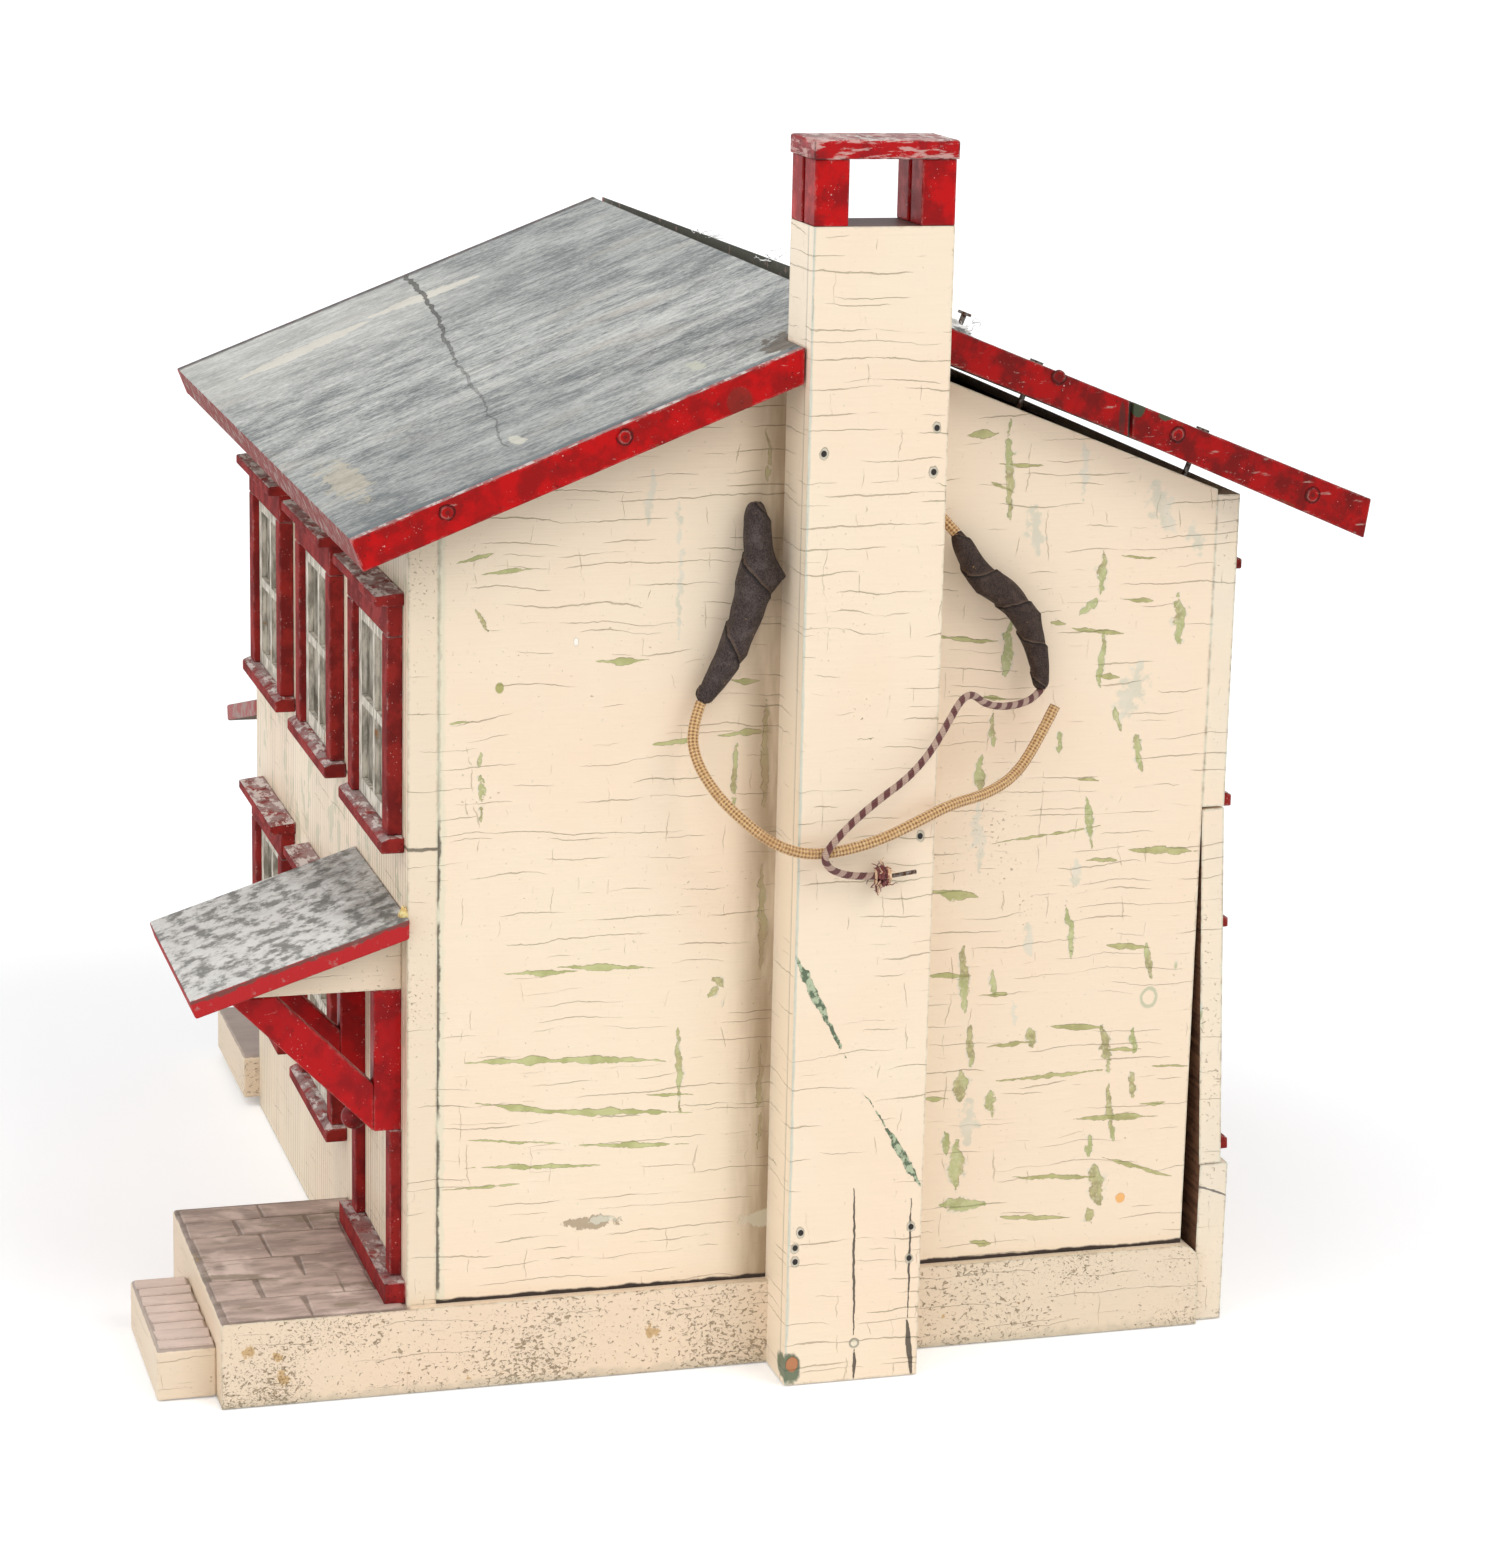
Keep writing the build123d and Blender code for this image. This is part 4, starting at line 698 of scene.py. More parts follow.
def gable_marks(pot, place, tint, height):
    """Placed splits and streaks, painted shade and dirt beside the chimney, seams along the edges, small
    spots, a painted shadow along the foot.
    """
    y = pot.axis(place, "Y")
    z = pot.axis(place, "Z")
    tint = pot.mix(pot.step(y, 0.02, 0.09, 0.0, 0.35), tint, pot.mix(0.5, tint, colour(238, 206, 178)))
    green = pot.mix(pot.patches(place, 0.38, 0.62, 150.0), colour(156, 162, 90), colour(182, 186, 122))
    olive = pot.mix(pot.patches(place, 0.42, 0.6, 320.0, 3.0), colour(144, 132, 70), colour(176, 168, 104))
    dusty = pot.mix(pot.patches(place, 0.4, 0.62, 90.0), colour(206, 207, 192), colour(184, 190, 172))
    uneven = wandering(pot, place, 0.004)
    beads = pot.jitter(place, 2.6, 420.0, 3.0, 0.6)
    uprights = near_lines(pot, uneven, on_gable(UPRIGHT_SPLITS, 1.5), 0.75)
    streaks = near_lines(pot, uneven, on_gable(DUSTY_STREAKS, 1.5), 0.6)
    peeled = pot.step(pot.plus(pot.times(uprights, 1.5), beads), 0.05, 0.4)
    clouded = pot.step(
        pot.plus(pot.most(pot.times(pot.plus(uprights, 0.9), 0.6), pot.times(streaks, 1.1)), beads), 0.3, 0.9
    )
    heart = pot.mix(pot.patches(place, 0.45, 0.58, 60.0), green, olive)
    heart = pot.mix(
        pot.step(pot.noise(place, 950.0, 2.0, 0.6), 0.5, 0.66, 0.0, 0.55), heart, colour(206, 200, 158)
    )
    tint = pot.over(tint, dusty, clouded, 0.5)
    tint = pot.over(tint, heart, peeled, 0.8)
    torn = pot.step(pot.noise(pot.scaled(place, 1.0, 170.0, 90.0), 1.0, 3.0, 0.6), 0.34, 0.64, 0.5, 1.4)
    levels = near_lines(pot, wandering(pot, place, 0.0016), on_gable(LEVEL_SPLITS, 1.35, 1.25), 0.96, 1.25)
    levels = pot.less(1.0, pot.math("DIVIDE", pot.less(1.0, levels), torn))
    levels = ragged_mask(pot, place, levels, 0.5)
    tint = pot.over(tint, pot.mix(pot.step(y, 0.04, 0.07, 0.0, 0.5), green, olive), levels, 0.85)
    height = pot.less(height, pot.plus(pot.times(levels, 0.8), pot.times(peeled, 0.5)))
    # Band left of the chimney: brown dirt with painted shade from the chimney, in uneven patches.
    chimney_shade_and_dirt = pot.times(pot.step(y, -0.013, 0.0015), pot.step(y, 0.02, 0.015))
    chimney_shade_and_dirt = pot.times(
        chimney_shade_and_dirt, pot.step(pot.noise(pot.scaled(place, 60.0, 90.0, 16.0), 1.0, 4.0, 0.6), 0.3, 0.6, 0.45, 0.95)
    )
    tint = pot.mix(chimney_shade_and_dirt, tint, colour(152, 128, 98))
    fray = pot.jitter(place, 0.0032, 160.0, 3.0, 0.6)
    front_rim = pot.step(pot.plus(y, fray), -0.0938, -0.0950)
    tint = pot.over(tint, colour(204, 210, 184), front_rim, 0.4)
    seam = pot.step(pot.plus(y, pot.jitter(place, 0.0022, 300.0, 3.0, 0.6)), -0.0953, -0.0960)
    seam = pot.times(seam, pot.patches(place, 0.36, 0.46, 60.0))
    seam = pot.times(seam, pot.step(z, 0.172, 0.164, 0.25, 1.0))
    tint = pot.over(tint, colour(66, 54, 42), seam, 0.85)
    small = (
        ((GABLE_X, -0.0573, 0.2188), (0.02, 0.0007, 0.0013), 2.2, colour(250, 246, 238), 0.7),
        ((GABLE_X, 0.1134, 0.0414), (0.02, 0.0016, 0.0018), 0.5, colour(238, 170, 84), 0.85),
        ((GABLE_X, -0.0790, 0.2065), (0.02, 0.0013, 0.0017), 0.5, colour(160, 158, 84), 0.9),
        ((GABLE_X, -0.0500, 0.0466), (0.02, 0.0072, 0.0018), 3.4, colour(140, 120, 88), 0.7),
        ((GABLE_X, -0.0470, 0.0474), (0.02, 0.0046, 0.0011), 3.4, colour(214, 210, 190), 0.7),
        ((GABLE_X, 0.0020, 0.0440), (0.02, 0.0080, 0.0030), 1.2, colour(198, 190, 166), 0.6),
    )
    tint, height = spots(pot, place, tint, height, small, 0.4)
    ring = pot.vector(
        "LENGTH",
        pot.scaled(pot.vector("SUBTRACT", place, (0.0, 0.1195, 0.1041)), 0.0, 1.0, 0.85),
        out="Value",
    )
    ring = pot.plus(ring, pot.jitter(place, 0.0014, 300.0, 3.0))
    ring = pot.step(pot.math("ABSOLUTE", pot.less(ring, 0.0024)), 0.0007, 0.0002)
    tint = pot.over(tint, colour(176, 182, 150), ring, 0.7)
    # Painted shadow: a dark ragged band along the gable's foot, just above the beam.
    foot = pot.plus(z, pot.jitter(pot.scaled(place, 1.0, 140.0, 30.0), 0.0022, 1.0, 4.0))
    tint = pot.mix(pot.step(foot, 0.0271, 0.0264), tint, colour(48, 36, 30))
    return tint, height


def planking(pot, place, tint, height):
    """Upright scored lines, dirt caught in them."""
    steps = pot.plus(pot.times(pot.axis(place, "X"), 285.0), pot.times(pot.noise(place, 40.0), 0.5))
    groove = pot.math("ABSOLUTE", pot.less(pot.math("FRACT", steps), 0.5))
    outward = pot.step(pot.facing("Y"), -0.5, -0.8)
    groove = pot.times(pot.step(groove, 0.15, 0.02), outward)
    shown = pot.patches(pot.scaled(place, 90.0, 90.0, 20.0), 0.3, 0.6, 1.0, 2.0)
    tint = pot.over(tint, colour(166, 150, 116), pot.times(groove, shown), 0.75)
    stain = pot.patches(pot.scaled(place, 26.0, 26.0, 9.0), 0.52, 0.72, 1.0, 4.0, 0.6)
    tint = pot.over(tint, colour(200, 192, 172), pot.times(stain, outward), 0.35)
    mould = pot.patches(pot.scaled(place, 120.0, 120.0, 80.0), 0.575, 0.625, 1.0, 3.0, 0.55)
    mould = pot.times(pot.times(mould, outward), pot.step(pot.axis(place, "Z"), 0.08, 0.11))
    tint = pot.over(tint, colour(172, 176, 142), mould, 0.45)
    tint = pot.mix(pot.step(outward, 0.5, 0.0, 0.0, 0.2), tint, colour(196, 186, 160))
    joint = pot.plus(pot.less(pot.axis(place, "Z"), 0.161), pot.jitter(place, 0.0018, 240.0, 3.0, 0.6))
    joint = pot.step(pot.math("ABSOLUTE", joint), 0.0007, 0.0002)
    tint = pot.over(tint, colour(74, 62, 46), joint, 0.75)
    return tint, pot.less(height, pot.plus(pot.times(groove, 0.9), joint))


def weathered(pot, place, tint, height):
    """Grey film of dirt on the boards that face the weather, and a crack through the end of the plinth."""
    crack = (
        ((0.1518, 0.1340, 0.0448), (0.1518, 0.1415, 0.0421), 0.0005),
        ((0.1518, 0.1415, 0.0421), (0.1518, 0.1480, 0.0397), 0.0004),
    )
    crack = ragged_mask(pot, place, near_lines(pot, wandering(pot, place, 0.0014), crack, 0.5), 0.2)
    tint = pot.over(tint, colour(58, 42, 34), crack, 0.9)
    height = pot.less(height, crack)
    film = pot.patches(pot.scaled(place, 22.0, 22.0, 12.0), 0.42, 0.66, 1.0, 4.0, 0.6)
    return pot.over(tint, colour(202, 204, 196), film, 0.24), height


dress(
    cream_paint(
        "gable_paint", cracks=1.0, openings=0.0, blotches=0.86, pits=0.1, pit_size=1200.0, wear=1.0,
        extra=gable_marks, inward=(-1, 0, 0),
    ),
    "chimney_gable",
)
dress(
    cream_paint(
        "far_gable_paint", cracks=1.0, openings=0.9, blotches=0.95, pits=0.3, pit_size=800.0, wear=1.0,
        extra=weathered, inward=(1, 0, 0),
    ),
    "far_gable",
)
dress(
    cream_paint(
        "front_wall_paint", cracks=0.6, openings=0.1, blotches=0.6, pits=0.3, pit_size=1500.0, wear=0.9,
        extra=planking, inward=(0, 1, 0),
    ),
    "front_wall_lower", "front_wall_upper",
)
dress(
    cream_paint(
        "back_wall_paint", cracks=1.0, openings=0.7, blotches=1.0, pits=0.5, pit_size=900.0, wear=1.2,
        extra=weathered, inward=(0, -1, 0),
    ),
    "back_wall_upper", "back_wall_middle", "back_plinth",
)


# Chimney: a block with a thinner board glued on its face, standing on the ground against the gable. The four
# posts of the pot and its cap are glued on top and painted the same bright red as the roof edges.
CHIMNEY_X = 0.17375
HOLE = colour(34, 26, 22)


def chimney_marks(pot, place, tint, height):
    """Nail holes, cracks at the foot, two long scrapes, the joint of the two boards, a darker brown top, and
    painted light on the sides facing the front of the house.
    """
    holes = []
    for y, z in (
        (6.9, 273.9), (39.5, 280.4), (39.0, 268.1), (38.5, 163.6), (4.6, 42.3), (4.7, 38.0), (39.7, 46.0),
        (39.4, 36.4), (6.2, 46.8),
    ):
        holes.append(
            ((CHIMNEY_X, y / 1000, z / 1000), (0.004, 0.0014, 0.0018), 1.4, colour(188, 184, 166), 0.7)
        )
        holes.append(((CHIMNEY_X, y / 1000, z / 1000), (0.004, 0.0009, 0.0010), 0.3, HOLE, 1.0))
    holes.append(((CHIMNEY_X, 0.0037, 0.0052), (0.01, 0.0036, 0.0052), 0.7, colour(96, 110, 84), 0.95))
    holes.append(((CHIMNEY_X, 0.0044, 0.0064), (0.01, 0.0020, 0.0026), 0.8, colour(186, 120, 78), 0.9))
    holes.append(((CHIMNEY_X, 0.0233, 0.0114), (0.004, 0.0017, 0.0017), 0.2, colour(176, 170, 150), 0.9))
    holes.append(((CHIMNEY_X, 0.0233, 0.0114), (0.004, 0.0012, 0.0012), 0.2, colour(232, 220, 194), 1.0))
    cracks = (
        ((CHIMNEY_X, 0.0219, 0.0590), (CHIMNEY_X, 0.0232, 0.0140), 0.00042),
        ((CHIMNEY_X, 0.0234, 0.0095), (CHIMNEY_X, 0.0236, 0.0005), 0.00055),
        ((CHIMNEY_X, 0.0394, 0.0549), (CHIMNEY_X, 0.0396, 0.0180), 0.00036),
        ((CHIMNEY_X, 0.0394, 0.0170), (CHIMNEY_X, 0.0411, 0.0005), 0.0009),
    )
    crack = ragged_mask(pot, place, near_lines(pot, wandering(pot, place, 0.0012), cracks, 0.6), 0.25)
    tint = pot.over(tint, colour(58, 48, 38), crack, 0.9)
    scratches = (
        ((CHIMNEY_X, 0.0026, 0.1300), (CHIMNEY_X, 0.0130, 0.1090), 0.0014),
        ((CHIMNEY_X, 0.0100, 0.1150), (CHIMNEY_X, 0.0190, 0.0980), 0.0006),
        ((CHIMNEY_X, 0.0240, 0.0880), (CHIMNEY_X, 0.0320, 0.0760), 0.0003),
        ((CHIMNEY_X, 0.0312, 0.0770), (CHIMNEY_X, 0.0418, 0.0585), 0.0013),
    )
    flecks = pot.patches(place, 0.44, 0.56, 620.0, 3.0, 0.65)
    scraped = pot.mix(flecks, colour(168, 182, 150), colour(58, 88, 60))
    scratch = ragged_mask(
        pot, place, near_lines(pot, wandering(pot, place, 0.0022), scratches, 0.7), 1.3, 520.0
    )
    tint = pot.over(tint, scraped, scratch, 0.92)
    height = pot.less(height, pot.plus(crack, pot.times(scratch, 0.5)))
    side_joint = pot.math("ABSOLUTE", pot.less(pot.axis(place, "X"), 0.1690))
    side_joint = pot.step(side_joint, 0.0006, 0.0002)
    tint = pot.over(tint, colour(92, 82, 62), side_joint, 0.8)
    rim = pot.step(pot.plus(pot.axis(place, "Y"), pot.jitter(place, 0.0012, 90.0)), 0.0032, 0.0028)
    rim = pot.times(rim, pot.step(pot.axis(place, "X"), 0.1730, 0.1735))
    tint = pot.over(tint, colour(186, 198, 188), rim, 0.6)
    # Top faces go darker brown.
    tint = pot.mix(pot.step(pot.facing("Z"), 0.6, 0.8), tint, colour(112, 88, 80))
    # Painted light: the sides facing the front of the house are made paler and warmer.
    tint = pot.mix(pot.step(pot.facing("Y"), -0.6, -0.8, 0.0, 0.5), tint, colour(255, 240, 216))
    return spots(pot, place, tint, height, holes, 1.0)


dress(
    cream_paint(
        "chimney_paint", cracks=1.25, openings=0.75, blotches=0.4, pits=0.05, pit_size=1200.0, wear=0.7,
        extra=chimney_marks,
    ),
    "chimney_core", "chimney_front",
)

# Red enamel, brushed on by hand: full colour in the thick parts, brown-red where it is thin, crumbs in the
# film, and chips along the edges that show white filler or the old green.
enamel, pot, taken, given = effect(
    "red_enamel",
    (
        ("Place", "Vector"), ("Paint", "Color"), ("Thin", "Color"), ("Worn", "Color"), ("Wear", "Float"),
        ("Bloom", "Float"), ("Scuff", "Float"),
    ),
    (("Colour", "Color"), ("Roughness", "Float"), ("Height", "Float")),
)
place = taken["Place"]
film = pot.noise(place, 130.0, 4.0, 0.62)
tint = pot.mix(pot.step(film, 0.38, 0.62), taken["Thin"], taken["Paint"])
crumbs = pot.cells(place, 620.0)
crumb = pot.times(pot.step(crumbs, 0.2, 0.1), pot.patches(place, 0.5, 0.62, 240.0))
tint = pot.over(tint, colour(86, 30, 26), crumb, 0.55)
flecks = pot.times(
    pot.step(pot.cells(place, 480.0), 0.14, 0.07), pot.patches(place, 0.6, 0.68, 170.0)
)
tint = pot.over(tint, colour(226, 176, 168), flecks, 0.7)
specks = pot.times(pot.step(pot.cells(place, 900.0), 0.16, 0.08), pot.patches(place, 0.5, 0.62, 120.0))
tint = pot.over(tint, colour(224, 190, 182), specks, 0.6)
up = pot.step(pot.facing("Z"), 0.55, 0.85)
dusty = pot.times(up, pot.patches(place, 0.3, 0.62, 210.0, 4.0, 0.65))
tint = pot.mix(pot.times(dusty, taken["Bloom"]), tint, colour(160, 138, 134))
flakes = pot.times(pot.patches(pot.scaled(place, 120.0, 300.0, 300.0), 0.5, 0.58, 1.0, 5.0, 0.7), up)
tint = pot.mix(pot.times(flakes, pot.times(taken["Bloom"], 0.8)), tint, colour(222, 213, 206))
scuffed = pot.step(
    pot.plus(
        pot.noise(pot.scaled(place, 130.0, 130.0, 620.0), 1.0, 4.0, 0.65),
        pot.times(pot.less(taken["Scuff"], 1.0), 0.2),
    ),
    0.5,
    0.6,
)
tint = pot.over(tint, taken["Worn"], scuffed, 0.75)
rubbed = pot.use(worn_edges, Place=place, Reach=0.0011, Amount=taken["Wear"])["Wear"]
bared = pot.mix(pot.patches(place, 0.44, 0.58, 190.0, 3.0), colour(66, 52, 50), taken["Worn"])
tint = pot.over(tint, bared, rubbed, 0.8)
pot.feed(given["Colour"], tint)
pot.feed(
    given["Roughness"],
    pot.plus(pot.step(film, 0.3, 0.7, 0.42, 0.28), pot.times(pot.most(dusty, rubbed), 0.3)),
)
pot.feed(
    given["Height"], pot.plus(pot.times(film, 0.5), pot.plus(pot.times(crumb, 0.5), pot.times(rubbed, -0.5)))
)


def red_paint(name, full, thin, worn, wear, bloom, extra=None, scuff=0.1, dull=0.0):
    """Red enamel for one group of trim."""
    material, pot, place, shader = finish(name, Specular_IOR_Level=0.16)
    coat = pot.use(enamel, Place=place, Paint=full, Thin=thin, Worn=worn, Wear=wear, Bloom=bloom, Scuff=scuff)
    tint, height = coat["Colour"], coat["Height"]
    if extra:
        tint, height = extra(pot, place, tint, height)
    lay_on(pot, shader, tint, pot.plus(coat["Roughness"], dull), height, 0.00035)
    return material


dress(
    red_paint(
        "pot_red", full=colour(186, 10, 12), thin=colour(142, 12, 14), worn=colour(206, 158, 150),
        wear=0.8, bloom=0.6,
    ),
    "pot_posts",
)
dress(
    red_paint(
        "cap_red", full=colour(176, 16, 20), thin=colour(126, 22, 26), worn=colour(204, 166, 158),
        wear=1.6, bloom=0.95, scuff=1.0,
    ),
    "chimney_cap",
)
soften(0.0004, "pot_posts")


# Roof: two wide boards, grey and weathered on top with streaks from ridge to eave. The front slope is fixed;
# the back slope has sprung and lies loose on half-drawn nails. Red strips cover the end grain of both.
GREY_DARK = colour(102, 106, 106)
GREY_LIGHT = colour(208, 208, 202)


def grey_roof(name, shift, edge_paint, edge_worn, extra, over_edge=None):
    """Weathered grey paint on top of a roof board, red or bare on its edges, raw wood underneath. extra adds
    marks to the grey, over_edge to the whole board."""
    material, pot, place, shader = finish(name)
    lie = pot.vector("ADD", pot.scaled(place, 1.0, 1.0, 0.0), shift)
    drawn = pot.noise(pot.scaled(lie, 340.0, 74.0, 0.0), 1.0, 6.0, 0.72, 0.3)
    fine = pot.noise(pot.scaled(lie, 1300.0, 560.0, 0.0), 1.0, 4.0, 0.7)
    patchy = pot.noise(pot.scaled(lie, 92.0, 60.0, 0.0), 1.0, 5.0, 0.62, 0.4)
    broad = pot.noise(pot.scaled(lie, 22.0, 10.0, 0.0), 1.0, 2.0, 0.5)
    level = pot.plus(
        pot.plus(pot.times(drawn, 0.3), pot.times(fine, 0.32)),
        pot.plus(pot.times(patchy, 0.24), pot.times(broad, 0.14)),
    )
    tint = pot.mix(pot.step(level, 0.4, 0.61), GREY_DARK, GREY_LIGHT)
    warm = pot.patches(pot.scaled(lie, 40.0, 20.0, 0.0), 0.56, 0.72, 1.0, 3.0)
    tint = pot.over(tint, colour(196, 182, 168), warm, 0.35)
    pale = pot.patches(pot.scaled(lie, 110.0, 60.0, 0.0), 0.62, 0.72, 1.0, 4.0, 0.65)
    tint = pot.over(tint, colour(226, 224, 212), pale, 0.6)
    rubbed = pot.use(worn_edges, Place=place, Reach=0.0012, Amount=1.0)["Wear"]
    tint = pot.over(tint, colour(92, 98, 96), rubbed, 0.5)
    height = pot.plus(pot.times(drawn, 0.7), pot.times(fine, 0.5))
    tint, height = extra(pot, place, tint, height)
    up = pot.facing("Z")
    ragged = pot.jitter(place, 0.5, 420.0, 3.0, 0.6)
    top = pot.step(pot.plus(up, ragged), 0.42, 0.62)
    edge = pot.mix(
        pot.patches(place, edge_worn, edge_worn + 0.16, 260.0, 4.0, 0.6), edge_paint, colour(160, 136, 128)
    )
    under = pot.mix(
        pot.patches(pot.scaled(place, 300.0, 30.0, 30.0), 0.35, 0.65, 1.0, 4.0),
        colour(74, 58, 46),
        colour(128, 106, 84),
    )
    side = pot.mix(pot.step(up, -0.5, -0.75), edge, under)
    tint = pot.mix(top, side, tint)
    if over_edge:
        tint = over_edge(pot, place, tint)
    lay_on(pot, shader, tint, 0.78, height, 0.0006)
    return material


def front_slope_marks(pot, place, tint, height):
    """One long crack from end to end, a pale scuff near the far end, dirt along both ends of the board."""
    flat = pot.scaled(place, 1.0, 1.0, 0.0)
    x = pot.axis(place, "X")
    low = pot.step(pot.axis(place, "Y"), -0.01, -0.07)
    tint = pot.mix(pot.times(pot.step(x, 0.02, 0.14, 0.0, 0.3), low), tint, colour(116, 120, 120))
    tint = pot.mix(pot.times(pot.step(x, 0.0, -0.11, 0.0, 0.35), low), tint, colour(222, 220, 212))
    tint = pot.mix(
        pot.times(pot.less(1.0, low), pot.step(x, 0.06, -0.04, 0.0, 0.22)), tint, colour(116, 120, 120)
    )
    scuff = (
        ((-0.0980, -0.1090, 0.0), (-0.1040, -0.0700, 0.0), 0.0075),
        ((-0.1100, -0.0640, 0.0), (-0.1045, -0.0330, 0.0), 0.0070),
    )
    scuff = ragged_mask(pot, flat, near_lines(pot, flat, scuff, 0.6), 3.2, 190.0)
    tint = pot.over(tint, colour(220, 213, 198), scuff, 0.7)
    chips = (
        ((0.1375, -0.0715, 0.273), (0.0075, 0.0020, 0.02), 2.8, colour(216, 212, 194), 0.7),
        ((0.1400, -0.0210, 0.294), (0.0060, 0.0026, 0.02), 2.4, colour(206, 206, 186), 0.7),
        ((0.1560, 0.0010, 0.302), (0.0120, 0.0070, 0.02), 2.2, colour(92, 78, 62), 0.75),
        ((0.1000, -0.1130, 0.257), (0.0300, 0.0050, 0.02), 3.4, colour(206, 192, 164), 0.45),
    )
    tint, height = spots(pot, place, tint, height, chips, 0.2)
    cracks = (
        ((-0.1628, -0.0444, 0.0), (-0.0792, -0.0506, 0.0), 0.00085),
        ((-0.0792, -0.0506, 0.0), (-0.0018, -0.0604, 0.0), 0.00070),
        ((-0.0018, -0.0604, 0.0), (0.0784, -0.0677, 0.0), 0.00045),
        ((0.0784, -0.0677, 0.0), (0.1419, -0.0747, 0.0), 0.00030),
    )
    bent = pot.scaled(wandering(pot, flat, 0.006, 60.0), 1.0, 1.0, 0.0)
    crack = ragged_mask(pot, flat, near_lines(pot, bent, cracks, 0.2), 1.1)
    tint = pot.mix(pot.times(crack, pot.step(x, -0.09, 0.06, 0.8, 0.4)), tint, colour(76, 74, 68))
    height = pot.less(height, pot.times(crack, 1.5))
    near_edge = pot.plus(x, pot.jitter(place, 0.006, 130.0, 4.0, 0.6))
    tint = pot.over(tint, colour(82, 92, 98), pot.step(near_edge, 0.1628, 0.1652), 0.65)
    return pot.over(tint, colour(84, 88, 86), pot.step(near_edge, -0.1515, -0.1540), 0.7), height


def back_slope_marks(pot, place, tint, height):
    """Mould along the ridge."""
    ridge = pot.step(pot.axis(place, "Y"), 0.034, 0.029)
    mould = pot.mix(pot.patches(place, 0.42, 0.6, 190.0, 4.0, 0.6), colour(92, 98, 88), colour(78, 82, 60))
    return pot.over(tint, mould, ridge, 0.8), height


dress(
    grey_roof(
        "front_slope_grey", shift=(0.0, 0.0, 0.0), edge_paint=colour(136, 58, 54), edge_worn=0.48,
        extra=front_slope_marks,
    ),
    "front_roof_panel",
)
dress(
    grey_roof(
        "back_slope_grey", shift=(0.4, 0.7, 0.0), edge_paint=colour(86, 88, 76), edge_worn=0.56,
        extra=back_slope_marks,
    ),
    "back_roof_panel",
)
soften(0.0006, "front_roof_panel", "back_roof_panel")


FRONT_RAKE_NAILS = ((-0.0980, 0.2598), (-0.0488, 0.2793))
BACK_RAKE_NAILS = ((0.1157, 0.2751), (0.1585, 0.2566), (0.0790, 0.2925))
BACK_RAKES = ("back_rake_upper", "back_rake_lower", "back_rake_far")


def rake_marks(pot, place, tint, height):
    """Rings where nail heads lie under the enamel, one dark patch, chips down to green along the edges."""
    for y, z in FRONT_RAKE_NAILS + BACK_RAKE_NAILS:
        near = pot.vector("SUBTRACT", place, (0.0, y, z))
        ring = pot.vector("LENGTH", pot.scaled(near, 0.0, 1.0, 1.0), out="Value")
        ring = pot.plus(ring, pot.jitter(place, 0.0011, 420.0, 3.0))
        band = pot.step(pot.math("ABSOLUTE", pot.less(ring, 0.0021)), 0.0005, 0.0001)
        broken = pot.patches(place, 0.34, 0.46, 520.0, 2.0)
        tint = pot.over(tint, colour(72, 20, 18), pot.times(band, broken), 0.85)
        tint = pot.mix(pot.step(ring, 0.0008, 0.0005, 0.0, 0.6), tint, colour(84, 24, 22))
        height = pot.plus(height, pot.times(band, -0.7))
    patch = (
        ((0.1705, -0.0165, 0.2885), (0.02, 0.0042, 0.0044), 0.5, colour(110, 44, 34), 0.6),
        ((0.1630, 0.1033, 0.2829), (0.02, 0.0022, 0.0026), 1.2, colour(52, 74, 54), 0.9),
        ((0.1630, 0.1118, 0.2806), (0.02, 0.0030, 0.0016), 1.2, colour(60, 80, 58), 0.9),
        ((0.1630, 0.0985, 0.2800), (0.02, 0.0010, 0.0060), 1.0, colour(70, 40, 34), 0.7),
    )
    tint, height = spots(pot, place, tint, height, patch, 0.1)
    chips = pot.patches(place, 0.66, 0.7, 150.0, 3.0, 0.6)
    rubbed = pot.use(worn_edges, Place=place, Reach=0.0022, Amount=1.0)["Wear"]
    tint = pot.over(tint, colour(62, 92, 62), pot.times(chips, rubbed), 0.9)
    up = pot.step(pot.facing("Z"), 0.4, 0.7)
    far = pot.times(up, pot.step(pot.axis(place, "X"), -0.150, -0.152))
    return pot.over(tint, colour(78, 82, 80), far, 0.85), height


dress(
    red_paint(
        "rake_red", full=colour(184, 4, 6), thin=colour(146, 8, 8), worn=colour(206, 176, 166),
        wear=0.7, bloom=0.85, extra=rake_marks,
    ),
    "front_rake_strips",
)
dress(
    red_paint(
        "back_rake_red", full=colour(160, 8, 8), thin=colour(112, 14, 12), worn=colour(176, 150, 138),
        wear=1.0, bloom=0.85, extra=rake_marks, scuff=0.4,
    ),
    *BACK_RAKES,
)
soften(0.0004, "front_rake_strips", *BACK_RAKES)


def nail_head(bm, x, y, z, radius):
    """Low round head lying on the face of a strip, a little domed and not quite true."""
    rings = []
    for out, share in ((-0.0003, 1.0), (0.00016, 1.0), (0.00030, 0.86), (0.00034, 0.45)):
        ring = []
        for side in range(20):
            turn = 2 * math.pi * side / 20
            size = radius * share * (1.0 + 0.05 * math.sin(2 * turn + 40 * y))
            ring.append(bm.verts.new((x + out, y + size * math.cos(turn), z + size * math.sin(turn))))
        rings.append(ring)
    for lower, upper in zip(rings, rings[1:]):
        for side in range(20):
            after = (side + 1) % 20
            bm.faces.new((lower[side], lower[after], upper[after], upper[side]))
    bm.faces.new(rings[-1])
    bm.faces.new(rings[0][::-1])


